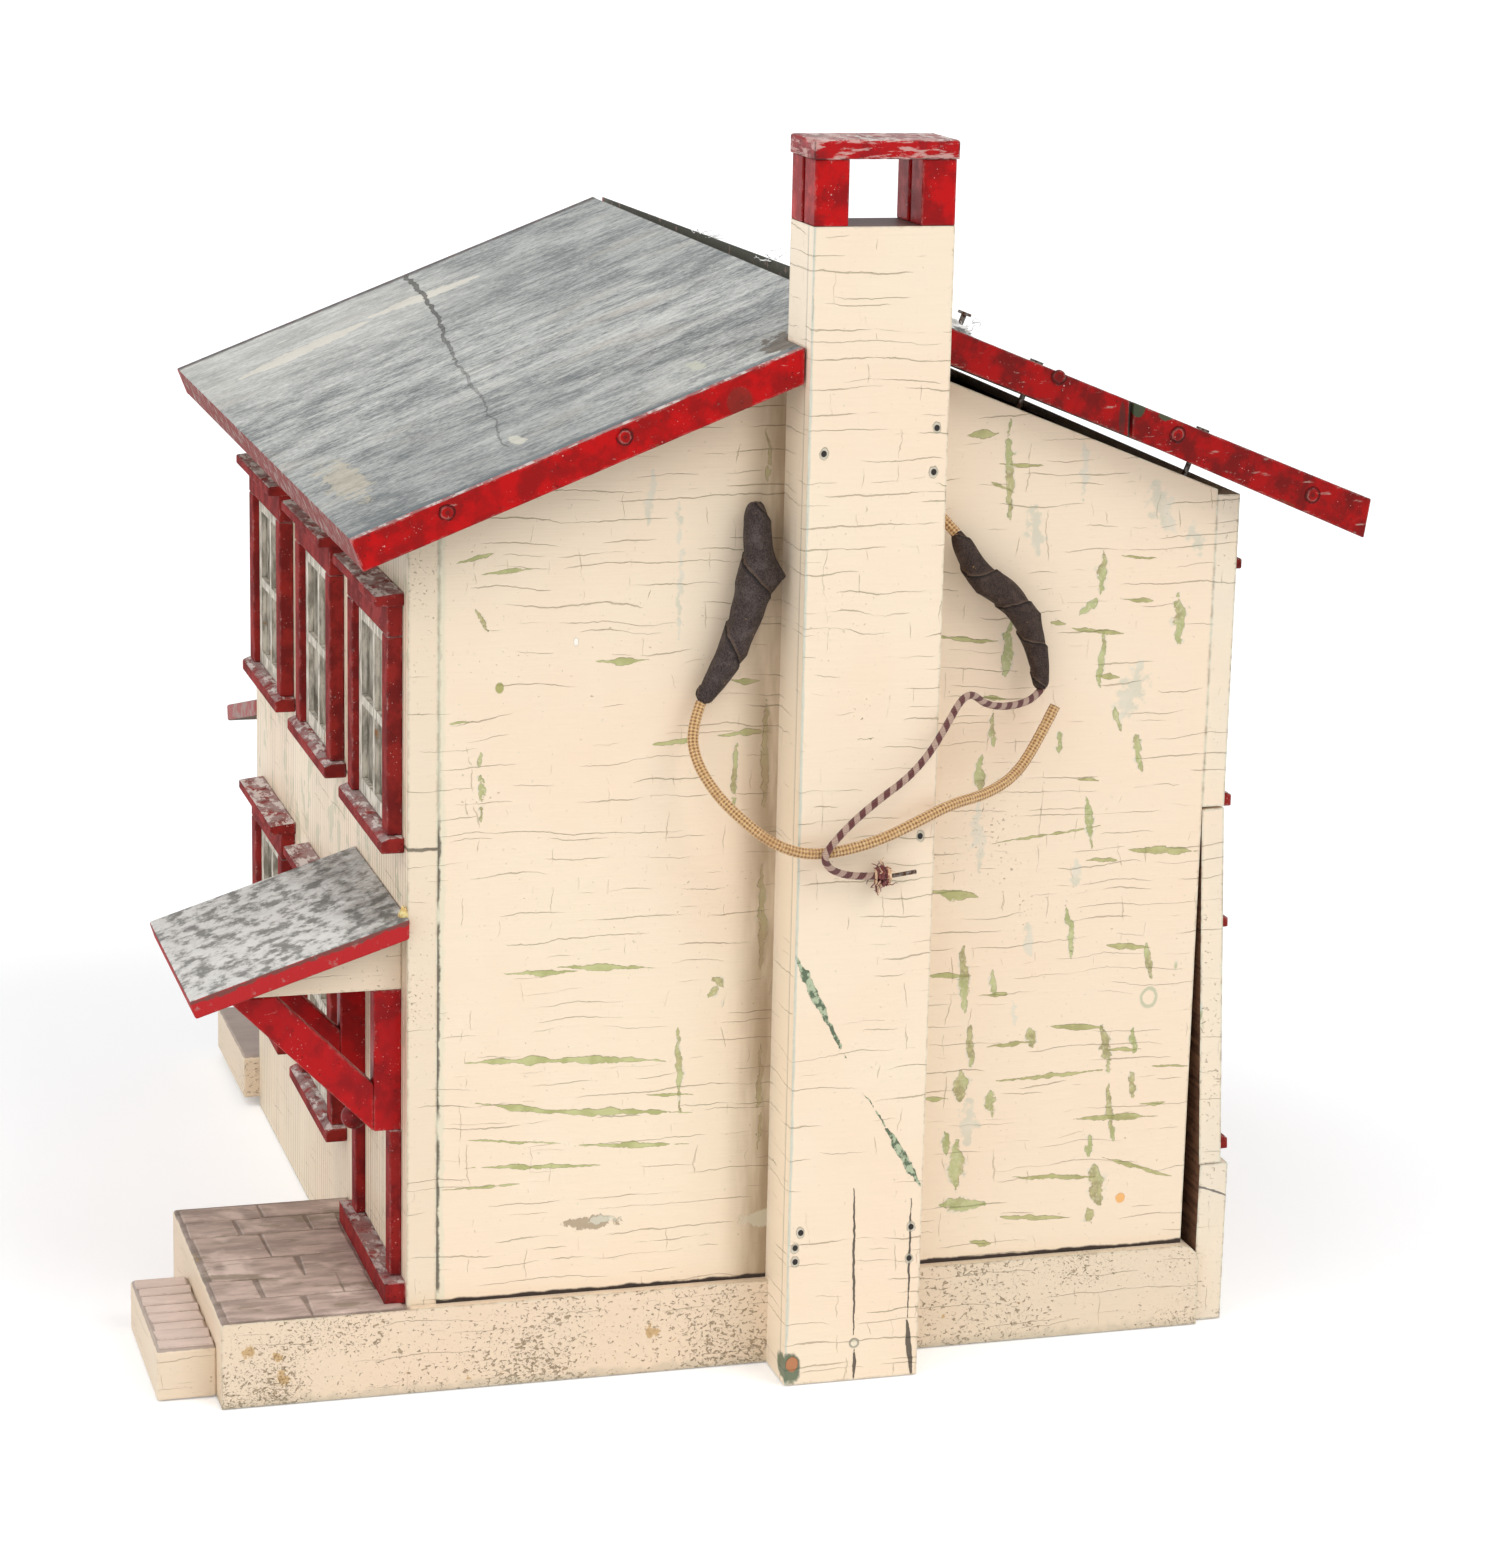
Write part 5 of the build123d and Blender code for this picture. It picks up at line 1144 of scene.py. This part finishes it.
HEAD_RADIUS = 0.0019
for name, strip, body, face_x, nails in (
    ("front_rake_nail_heads", "front_rake_strips", "house", 0.17045, FRONT_RAKE_NAILS),
    ("back_rake_nail_heads", "back_rake_lower", "back_roof", 0.16295, BACK_RAKE_NAILS),
):
    bm = bmesh.new()
    for y, z in nails:
        nail_head(bm, face_x, y, z, HEAD_RADIUS)
    new_piece(name, bm, pieces[strip].data.materials[0], body)

steel, pot, place, shader = finish("rusty_nail", Metallic=0.85)
rust = pot.patches(place, 0.42, 0.6, 900.0, 4.0, 0.65)
lay_on(
    pot,
    shader,
    pot.mix(rust, colour(128, 122, 116), colour(96, 66, 48)),
    pot.step(rust, 0.0, 1.0, 0.38, 0.75),
    rust,
    0.0001,
)
dress(steel, "roof_nails", "front_door_pivots", "side_door_pivots", "bare_wire_end")

# Cotton wool left along the ridge from some winter scene: thin tangled wisps caught on the rough edge.
def mottled(name, scale, low, high, dark, light, roughness, depth, **constants):
    """Simple finish of two shades in fine patches, which also give its relief."""
    material, pot, place, shader = finish(name, **constants)
    patchy = pot.noise(place, scale, 3.0)
    lay_on(pot, shader, pot.mix(pot.step(patchy, low, high), dark, light), roughness, patchy, depth)
    return material


cotton = mottled(
    "cotton_wool", scale=800.0, low=0.35, high=0.65, dark=colour(228, 226, 222), light=colour(250, 250, 248),
    roughness=0.95, depth=0.0003, Sheen_Weight=0.4,
)


def thread(bm, points, radius, sides=5, layer=None):
    """Fine round thread through points, thinning to its end."""
    rings = []
    for index, point in enumerate(points):
        ahead = points[min(index + 1, len(points) - 1)] - points[max(index - 1, 0)]
        turn = ahead.to_track_quat("Z", "Y")
        thin = radius * (1.0 - 0.55 * index / (len(points) - 1))
        rings.append([
            bm.verts.new(point + turn @ Vector((thin * math.cos(a), thin * math.sin(a), 0)))
            for a in (2 * math.pi * side / sides for side in range(sides))
        ])
    for lower, upper in zip(rings, rings[1:]):
        for side in range(sides):
            after = (side + 1) % sides
            face = bm.faces.new((lower[side], lower[after], upper[after], upper[side]))
            face.material_index = layer or 0
    for end in (rings[0][::-1], rings[-1]):
        bm.faces.new(end).material_index = layer or 0


def wisps(bm, middle, reach, count, rng):
    """A caught tuft: curled fibres round one place, lying close to the ridge."""
    for fibre in range(count):
        start = Vector(middle) + Vector(
            (rng.gauss(0, reach[0]), rng.gauss(0, reach[1]), abs(rng.gauss(0, reach[2])))
        )
        heading = Vector((rng.gauss(0, 1), rng.gauss(0, 0.7), rng.gauss(0, 0.5))).normalized()
        points = []
        for index in range(9):
            points.append(start.copy())
            heading = (
                heading + 0.75 * Vector((rng.gauss(0, 1), rng.gauss(0, 1), rng.gauss(0, 0.8)))
            ).normalized()
            start += heading * 0.0008
            start.z = max(start.z, middle[2] - 0.0002)
        thread(bm, points, 0.00016, 4)


rng = random.Random(19)
bm = bmesh.new()
for middle, reach, count in (
    ((-0.028, 0.0290, 0.3112), (0.006, 0.0010, 0.0004), 12),
    ((0.040, 0.0292, 0.3120), (0.004, 0.0010, 0.0004), 8),
    ((0.150, 0.0510, 0.3046), (0.003, 0.0040, 0.0006), 20),
):
    wisps(bm, middle, reach, count, rng)
tuft = bmesh.ops.create_icosphere(bm, subdivisions=5, radius=1.0)["verts"]
for vertex in tuft:
    puff = 1.0 + 0.5 * lumps.fractal(vertex.co * 1.7, 1.0, 2.0, 4)
    vertex.co = Vector((0.1500, 0.0500, 0.3056)) + Vector(
        (0.0042 * puff * vertex.co.x, 0.0056 * puff * vertex.co.y, 0.0024 * puff * vertex.co.z)
    )
    vertex.co.z -= 0.39 * (vertex.co.y - 0.0500)
new_piece("cotton_wisps", bm, cotton, "back_roof")


# Windows: each is a red frame of square sticks glued on the wall, with a thin sash of painted strips lying on
# a dusty pane. Sill tops are rubbed down to grey and white.
TRIM = ("window_sills", "window_jambs", "window_lintels", "window_caps")
dress(
    red_paint(
        "window_red", full=colour(146, 38, 34), thin=colour(112, 30, 28), worn=colour(196, 158, 152),
        wear=1.0, bloom=0.95, scuff=0.0, dull=0.4,
    ),
    *TRIM,
)
soften(0.0005, *TRIM)

sash_white, pot, place, shader = finish("sash_white")
streaked = pot.noise(pot.scaled(place, 420.0, 420.0, 130.0), 1.0, 4.0, 0.62)
tint = pot.mix(pot.step(streaked, 0.36, 0.62), colour(150, 143, 128), colour(218, 210, 194))
rust = pot.patches(place, 0.66, 0.72, 190.0, 3.0, 0.6)
tint = pot.over(tint, colour(176, 116, 62), rust, 0.7)
rubbed = pot.use(worn_edges, Place=place, Reach=0.0009, Amount=1.0)["Wear"]
lay_on(pot, shader, pot.over(tint, colour(120, 116, 102), rubbed, 0.5), 0.7, streaked)
dress(sash_white, "window_sashes")

pane_glass, pot, place, shader = finish("dusty_pane", IOR=1.45)
dust = pot.noise(pot.scaled(place, 150.0, 150.0, 84.0), 1.0, 5.0, 0.65)
lay_on(
    pot,
    shader,
    pot.mix(pot.step(dust, 0.35, 0.65), colour(116, 108, 94), colour(182, 173, 156)),
    pot.step(dust, 0.3, 0.7, 0.2, 0.6),
)
pot.feed(shader.inputs["Alpha"], pot.step(dust, 0.3, 0.7, 0.5, 0.92))
dress(pane_glass, "window_panes")


# Door hoods: sloping boards with grey tops and ragged red edges, on cream cheeks, each carried by two red
# brackets of an upright leg and a raking brace.
def hood_marks(pot, place, tint, height):
    """Paler towards the eave, brown and mottled towards the house."""
    mottled = pot.noise(place, 210.0, 5.0, 0.7)
    tint = pot.mix(0.42, tint, colour(186, 180, 172))
    tint = pot.over(tint, colour(226, 226, 222), pot.step(mottled, 0.5, 0.62), 0.3)
    tint = pot.over(tint, colour(104, 104, 100), pot.step(mottled, 0.44, 0.36), 0.3)
    bleached = pot.plus(pot.axis(place, "Y"), pot.jitter(place, 0.05, 70.0, 4.0, 0.6))
    tint = pot.mix(pot.step(bleached, -0.112, -0.130, 0.0, 0.52), tint, colour(234, 231, 226))
    grime = pot.times(pot.step(bleached, -0.128, -0.112), pot.patches(place, 0.4, 0.56, 330.0, 3.0, 0.6))
    return pot.over(tint, colour(126, 108, 94), grime, 0.3), height


def hood_lip(pot, place, tint):
    """Dark ragged line where the grey stops and the red of the edge begins."""
    top = pot.plus(pot.times(pot.plus(pot.axis(place, "Y"), 0.1049), 0.3258), 0.1420)
    below = pot.plus(pot.less(pot.axis(place, "Z"), top), pot.jitter(place, 0.0042, 210.0, 4.0, 0.65))
    line = pot.times(pot.step(below, -0.0017, -0.0011), pot.step(below, 0.0002, -0.0005))
    return pot.over(tint, colour(72, 70, 62), line, 0.7)


dress(
    grey_roof(
        "hood_grey", shift=(0.9, 0.2, 0.0), edge_paint=colour(178, 14, 20), edge_worn=0.58,
        extra=hood_marks, over_edge=hood_lip,
    ),
    "front_hood_roof",
)
dress(
    grey_roof(
        "side_hood_grey", shift=(0.3, 0.5, 0.0), edge_paint=colour(166, 92, 90), edge_worn=0.46,
        extra=hood_marks,
    ),
    "side_hood_roof",
)
soften(0.0007, "front_hood_roof", "side_hood_roof")
dress(
    cream_paint(
        "cheek_paint", cracks=0.6, openings=0.2, blotches=0.3, pits=0.1, pit_size=900.0, wear=1.0
    ),
    "hood_cheeks",
)
dress(
    red_paint(
        "bracket_red", full=colour(176, 16, 20), thin=colour(142, 16, 20), worn=colour(214, 170, 160),
        wear=0.7, bloom=0.4,
    ),
    "bracket_legs", "bracket_braces",
)
soften(0.0005, "bracket_legs", "bracket_braces", "hood_cheeks")

# A bead of amber glue squeezed out where the front hood meets the corner of the house.
amber_glue = mottled(
    "amber_glue", scale=600.0, low=0.38, high=0.62, dark=colour(214, 166, 92), light=colour(240, 208, 140),
    roughness=0.32, depth=0.0002, Subsurface_Weight=0.2,
)
bm = bmesh.new()
for vertex in bmesh.ops.create_icosphere(bm, subdivisions=4, radius=1.0)["verts"]:
    swell = 1.0 + 0.35 * lumps.noise(vertex.co * 2.3)
    vertex.co = Vector((0.1500, -0.1056, 0.1416)) + Vector((0.0020, 0.0014, 0.0026)) * swell * vertex.co
for face in bm.faces:
    face.smooth = True
new_piece("hood_glue", bm, amber_glue, "house")


# Doors: a scored leaf that turns on two pivot nails between red jambs, with a turned red knob.
DOOR_TRIM = (
    "front_door_jambs", "front_door_lintel", "front_threshold", "side_door_jambs", "side_door_lintel",
    "side_threshold",
)
dress(
    red_paint(
        "door_trim_red", full=colour(148, 32, 30), thin=colour(112, 24, 26), worn=colour(200, 156, 150),
        wear=1.0, bloom=0.8, dull=0.3,
    ),
    *DOOR_TRIM,
)
soften(0.0005, *DOOR_TRIM)
dress(
    red_paint(
        "knob_red", full=colour(134, 30, 32), thin=colour(92, 22, 24), worn=colour(170, 110, 104),
        wear=0.5, bloom=0.3,
    ),
    "front_door_knob", "side_door_knob",
)
dress(
    cream_paint(
        "door_paint", cracks=0.7, openings=0.2, blotches=0.6, pits=0.6, pit_size=1200.0, wear=1.0,
        extra=planking,
    ),
    "front_door_leaf", "side_door_leaf",
)


# Lamp in the loft: a turned wooden block screwed to the gable, a pressed brass holder, two terminal screws
# and a clear bulb, fed by the two leads that come through the gable.
block_wood, pot, place, shader = finish("lamp_block_wood")
grain = pot.noise(pot.scaled(place, 380.0, 60.0, 380.0), 1.0, 4.0, 0.6, 0.5)
lay_on(pot, shader, pot.mix(pot.step(grain, 0.3, 0.7), colour(96, 66, 42), colour(158, 118, 78)), 0.6, grain)
dress(block_wood, "lamp_block")
brass, pot, place, shader = finish("old_brass", Metallic=1.0)
tarnish = pot.noise(place, 320.0, 4.0, 0.6)
lay_on(
    pot,
    shader,
    pot.mix(pot.step(tarnish, 0.36, 0.64), colour(118, 92, 52), colour(206, 168, 92)),
    pot.step(tarnish, 0.3, 0.7, 0.55, 0.26),
    tarnish,
    0.0001,
)
dress(brass, "lamp_holder", "terminal_screws")
bulb_glass, pot, place, shader = finish("bulb_glass", IOR=1.45, Transmission_Weight=1.0)
smoke = pot.noise(place, 260.0, 3.0)
lay_on(
    pot,
    shader,
    pot.mix(pot.step(smoke, 0.4, 0.7), colour(238, 238, 232), colour(196, 192, 178)),
    pot.step(smoke, 0.3, 0.7, 0.05, 0.22),
)
dress(bulb_glass, "lamp_bulb")


# Leads: cloth-covered lamp cord that comes out of the gable at two places. Each joint is bound with black
# cloth tape; from the left one hangs the tan cord with its cut end, from the right one the striped wire.
GABLE_POINT = Vector((0.15175, 0.018597, 0.0))


def at_gable(route):
    """Route given out from the gable, along it and up, in millimetres, as places in metres."""
    return [GABLE_POINT + Vector(point[:3]) / 1000 for point in route]


def smooth_line(name, route, fineness):
    """Places along the smooth line that a lead takes through its route, read from its own spline."""
    line = bpy.data.curves.new(name, "CURVE")
    line.dimensions = "3D"
    spline = line.splines.new("NURBS")
    spline.points.add(len(route) - 1)
    for point, where in zip(spline.points, route):
        point.co = (*where, 1.0)
    spline.order_u = 3
    spline.use_endpoint_u = True
    spline.resolution_u = fineness
    holder = bpy.data.objects.new(name, line)
    scene.collection.objects.link(holder)
    mesh = bpy.data.meshes.new_from_object(holder.evaluated_get(bpy.context.evaluated_depsgraph_get()))
    places = [vertex.co.copy() for vertex in mesh.vertices]
    bpy.data.objects.remove(holder)
    bpy.data.curves.remove(line)
    bpy.data.meshes.remove(mesh)
    return places


def sleeve(bm, places, radius, sides):
    """Closed round skin along a line. radius(along, turn) gives its size; both are kept for the weave."""
    kept = bm.loops.layers.uv.new("weave")
    along = [0.0]
    for here, there in zip(places, places[1:]):
        along.append(along[-1] + (there - here).length)
    heading = (places[1] - places[0]).normalized()
    side_way = heading.orthogonal().normalized()
    rings = []
    for index, place in enumerate(places):
        ahead = (places[min(index + 1, len(places) - 1)] - places[max(index - 1, 0)]).normalized()
        side_way = (side_way - ahead * side_way.dot(ahead)).normalized()
        up_way = ahead.cross(side_way)
        ring = []
        for side in range(sides):
            turn = 2 * math.pi * side / sides
            out = side_way * math.cos(turn) + up_way * math.sin(turn)
            ring.append(bm.verts.new(place + out * radius(along[index], side / sides, out, along[-1])))
        rings.append(ring)
    for index in range(len(rings) - 1):
        for side in range(sides):
            after = (side + 1) % sides
            face = bm.faces.new(
                (rings[index][side], rings[index][after], rings[index + 1][after], rings[index + 1][side])
            )
            face.smooth = True
            for loop, (step, turn) in zip(face.loops, ((0, 0), (0, 1), (1, 1), (1, 0))):
                loop[kept].uv = (along[index + step] * 1000, (side + turn) / sides)
    for ring, index in ((rings[0][::-1], 0), (rings[-1], -1)):
        for loop in bm.faces.new(ring).loops:
            loop[kept].uv = (along[index] * 1000, 0.5)


BRAID_STEP = 0.98
BRAID_STRANDS = 8


def braid_relief(size):
    """Over-and-under relief of a round braid."""
    def radius(along, turn, out, length):
        left = math.sin(math.pi * (along * 1000 / BRAID_STEP + turn * BRAID_STRANDS))
        right = math.sin(math.pi * (along * 1000 / BRAID_STEP - turn * BRAID_STRANDS))
        return size * (0.955 + 0.045 * left * right)
    return radius


tan_braid, pot, place, shader = finish("tan_braid", Sheen_Weight=0.25)
weave = pot.put("ShaderNodeUVMap", uv_map="weave")
steps = pot.math("DIVIDE", pot.axis(weave, "X"), BRAID_STEP)
turns = pot.times(pot.axis(weave, "Y"), BRAID_STRANDS)
left = pot.math("SINE", pot.times(pot.plus(steps, turns), math.pi))
right = pot.math("SINE", pot.times(pot.less(steps, turns), math.pi))
over = pot.times(left, right)
tint = pot.mix(pot.step(over, -0.7, 0.6), colour(146, 102, 58), colour(224, 182, 126))
fuzz = pot.noise(place, 1500.0, 3.0, 0.6)
tint = pot.over(tint, colour(242, 214, 170), pot.step(fuzz, 0.5, 0.7), 0.5)
tint = pot.over(tint, colour(168, 122, 74), pot.patches(place, 0.5, 0.7, 130.0, 2.0), 0.4)
lay_on(pot, shader, tint, 0.85, pot.plus(over, fuzz), 0.0002)

tan_route = at_gable((
    (5.5, -40.8, 201.4), (7.5, -44.2, 193.9), (11, -43.5, 185.5), (16, -38.9, 177.1), (21.5, -32.7, 170.7),
    (25.5, -25, 164.5), (27, -15.3, 161), (27.2, -4, 161.8), (27.2, 7.4, 164.8), (27, 18, 169.5),
    (24.5, 28.4, 173.3), (19, 40, 173.9), (14, 50.5, 177.5), (10.5, 57.8, 185.5), (8.5, 64.2, 196.6),
))
tan_line = smooth_line("tan_line", tan_route, 26)
bm = bmesh.new()
sleeve(bm, tan_line, braid_relief(0.00164), 20)
tan_cord = new_piece("tan_cloth_cord", bm, tan_braid, "house")
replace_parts(tan_cord, "tan_cord")

striped_braid, pot, place, shader = finish("striped_braid", Sheen_Weight=0.2)
weave = pot.put("ShaderNodeUVMap", uv_map="weave")
fuzz = pot.noise(place, 1300.0, 3.0, 0.6)
spiral = pot.plus(pot.math("DIVIDE", pot.axis(weave, "X"), 4.4), pot.axis(weave, "Y"))
spiral = pot.plus(spiral, pot.jitter(place, 0.3, 160.0, 2.0))
band = pot.math("SINE", pot.times(spiral, 2 * math.pi))
fibres = pot.math(
    "SINE",
    pot.times(
        pot.plus(pot.times(pot.axis(weave, "X"), 1.9), pot.times(pot.axis(weave, "Y"), -5.0)), 2 * math.pi
    ),
)
tint = pot.mix(
    pot.step(pot.plus(band, pot.times(fuzz, 0.6)), 0.1, 0.5), colour(112, 54, 50), colour(206, 172, 152)
)
tint = pot.over(tint, colour(70, 36, 34), pot.step(fibres, -0.2, 0.9), 0.22)
lay_on(pot, shader, tint, 0.88, pot.plus(fibres, fuzz), 0.00015)


def twisted_relief(along, turn, out, length):
    """Slight rise and fall of the striped wire's twisted yarns."""
    return 0.00105 + 0.00003 * math.sin(along * 4200 + turn * 12.6)


striped_route = at_gable((
    (6, 60.9, 201.5), (7.5, 58.3, 199.1), (10, 52.6, 197.8), (13, 45.8, 198.1), (16, 39.8, 200),
    (19, 35.2, 203.8), (22, 30.8, 203), (25.5, 25.6, 196.5), (28, 20, 189.2), (29.5, 13.2, 182.6),
    (30.5, 4.8, 177.3), (31, -3.4, 170.9), (31, -9.2, 164.8), (30.5, -11.3, 161), (29, -9.1, 157.3),
    (27.5, -4.2, 154.9), (26.5, 1.5, 153.9), (26, 5.8, 153.7),
))
striped_line = smooth_line("striped_line", striped_route, 18)
bm = bmesh.new()
sleeve(bm, striped_line, twisted_relief, 14)
striped_wire = new_piece("striped_cloth_wire", bm, striped_braid, "house")
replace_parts(striped_wire, "striped_wire")

# The striped wire's cover ends in a knot of its own frayed yarns, maroon and beige, wound round the bare
# wire.
maroon_yarn, beige_yarn = (
    mottled(
        name, scale=2200.0, low=0.35, high=0.65, dark=dark, light=light, roughness=0.9, depth=0.0001,
        Sheen_Weight=0.2,
    )
    for name, dark, light in (
        ("maroon_yarn", colour(82, 34, 34), colour(136, 66, 62)),
        ("beige_yarn", colour(196, 150, 112), colour(232, 200, 166)),
    )
)
knot_middle = GABLE_POINT + Vector((0.026, 0.0078, 0.1535))
rng = random.Random(31)
bm = bmesh.new()
for turn_number in range(9):
    tilt = rng.uniform(-0.5, 0.5)
    offset = -0.0021 + 0.00052 * turn_number
    size = 0.0019 + 0.0007 * math.sin(math.pi * turn_number / 8) + rng.uniform(-0.0002, 0.0003)
    loop_points = []
    for index in range(19):
        a = 2 * math.pi * index / 17
        wobble = size * (1 + 0.12 * math.sin(3 * a + turn_number))
        loop_points.append(
            knot_middle + Vector(
                (
                    wobble * math.cos(a),
                    offset + tilt * size * 0.5 * math.cos(a) + 0.0003 * index / 19,
                    wobble * math.sin(a),
                )
            )
        )
    thread(bm, loop_points, 0.00042, 6, 1 if turn_number in (0, 6, 7, 8) else 0)
for strand in range(28):
    a = rng.uniform(0, 2 * math.pi)
    heading = Vector((0.5 * math.cos(a) + 0.25, rng.uniform(-1.1, 0.6), math.sin(a) + 0.1)).normalized()
    start = knot_middle + Vector((0.0017 * math.cos(a), rng.uniform(-0.0018, 0.0016), 0.0017 * math.sin(a)))
    points = []
    for index in range(8):
        points.append(start.copy())
        heading = (heading + 0.38 * Vector((rng.gauss(0, 1), rng.gauss(0, 1), rng.gauss(0, 1)))).normalized()
        start += heading * rng.uniform(0.00045, 0.0009)
    thread(bm, points, 0.00021, 5, 1 if strand % 3 == 0 else 0)
frayed_knot = new_piece("frayed_yarn_knot", bm, maroon_yarn, "house")
frayed_knot.data.materials.append(beige_yarn)
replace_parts(frayed_knot, "frayed_knot")

# Cloth tape wraps: black friction tape wound in a spiral over each joint, its edges lifting in small points.
LAP_START = 0.35


def friction_tape(name, width, dark, light, worn):
    """Black cloth tape with a lap every width millimetres: a dark step, a frayed pale edge, caught lint."""
    material, pot, place, shader = finish(name, Specular_IOR_Level=0.25)
    weave = pot.put("ShaderNodeUVMap", uv_map="weave")
    cloth = pot.noise(place, 2600.0, 2.0)
    worn_patch = pot.patches(place, 0.45, 0.68, 260.0, 4.0, 0.65)
    tint = pot.mix(pot.step(cloth, 0.35, 0.65), dark, light)
    tint = pot.over(tint, worn, worn_patch, 0.35)
    lap = pot.plus(pot.math("DIVIDE", pot.axis(weave, "X"), width), pot.plus(pot.axis(weave, "Y"), LAP_START))
    lap = pot.math("FRACT", pot.plus(lap, pot.jitter(place, 0.06, 220.0, 3.0)))
    tint = pot.over(tint, colour(18, 13, 12), pot.step(lap, 0.1, 0.0), 0.9)
    tint = pot.over(tint, colour(122, 98, 80), pot.step(lap, 0.94, 0.99), 0.4)
    lint = pot.step(pot.cells(place, 520.0), 0.13, 0.06)
    lint = pot.times(lint, pot.patches(place, 0.5, 0.6, 150.0))
    tint = pot.over(tint, colour(186, 142, 98), lint, 0.8)
    lay_on(pot, shader, tint, 0.6, pot.plus(cloth, worn_patch), 0.0002)
    return material


def tape_wrap(name, node, material, stations, pitch, flaps, seed):
    """Swelling spiral of tape along a joint, every turn a step down to the next, with lifted corners."""
    places = smooth_line(name + "_line", at_gable(stations), 24)
    sizes = [station[3] / 1000 for station in stations]
    def radius(along, turn, out, length):
        share = along / length * (len(sizes) - 1)
        index = min(int(share), len(sizes) - 2)
        size = sizes[index] + (sizes[index + 1] - sizes[index]) * (share - index)
        lap = (along / pitch + turn + LAP_START) % 1.0
        size += 0.00062 * (1.0 - lap) - 0.00031
        size *= 1.0 + 0.10 * lumps.noise(
            Vector(
                (along * 160 + seed, 2.2 * math.cos(2 * math.pi * turn), 2.2 * math.sin(2 * math.pi * turn))
            )
        )
        for where, spread, lift, way in flaps:
            near = max(0.0, 1.0 - abs(along / length - where) / spread)
            size += lift * near ** 2 * max(0.0, out.dot(Vector(way).normalized())) ** 9
        for from_end, reach in ((along, 0.0055), (length - along, 0.002)):
            if from_end < reach:
                torn = 0.25 * lumps.noise(Vector((9 * turn, seed, 0)))
                size *= 0.42 + 0.58 * math.sqrt(
                    max(0.0, 1.0 - (1.0 - from_end / reach + torn * (1 - from_end / reach)) ** 2)
                )
        return size
    bm = bmesh.new()
    sleeve(bm, places, radius, 40)
    wrap = new_piece(name, bm, material, "house")
    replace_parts(wrap, node)
    return wrap


tape_wrap(
    "left_cloth_tape", "left_tape_wrap",
    friction_tape("left_friction_tape", 21.0, colour(40, 32, 31), colour(78, 65, 61), colour(108, 96, 92)),
    stations=(
        (6, -26.2, 258.1, 3.2), (6.5, -25.9, 250.3, 4.1), (7, -25.2, 239.8, 5.2), (6.5, -28.8, 224.7, 4.3),
        (6, -33.3, 213.3, 3.7), (5.5, -40.8, 201.4, 2.4),
    ),
    pitch=0.021,
    flaps=((0.33, 0.13, 0.0036, (0.2, 1, -0.1)), (0.71, 0.10, 0.0034, (0.2, 1, 0.1))),
    seed=3.0,
)
tape_wrap(
    "right_cloth_tape", "right_tape_wrap",
    friction_tape("right_friction_tape", 13.5, colour(36, 26, 22), colour(70, 53, 46), colour(94, 76, 67)),
    stations=(
        (5.5, 33.3, 247.5, 2.4), (6.5, 38.1, 238, 3.5), (7, 43.5, 232.8, 4.2), (7, 50.3, 228.5, 4.1),
        (7, 55.2, 221.3, 3.6), (6.5, 59, 212.8, 3.0), (6, 60.9, 201.5, 2.3),
    ),
    pitch=0.0135,
    flaps=((0.30, 0.10, 0.0013, (0.2, -1, -0.6)), (0.62, 0.08, 0.0010, (0.2, 1, 0.4))),
    seed=8.0,
)


def lead_end(name, node, route):
    """Braided end of the lamp's own lead, out through the gable into its wrap."""
    bm = bmesh.new()
    sleeve(bm, smooth_line(name + "_line", at_gable(route), 14), braid_relief(0.00161), 20)
    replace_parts(new_piece(name, bm, tan_braid, "house"), node)


lead_end("left_lead_end", "left_lead", ((-16, -24, 246), (-8, -24, 246), (0, -24, 246), (6.5, -24, 246)))
lead_end(
    "right_lead_end", "right_lead",
    ((-16, 28.5, 253), (-6, 28.5, 253), (0, 28.5, 253), (2.8, 28.5, 253), (5.5, 33.3, 247.5)),
)
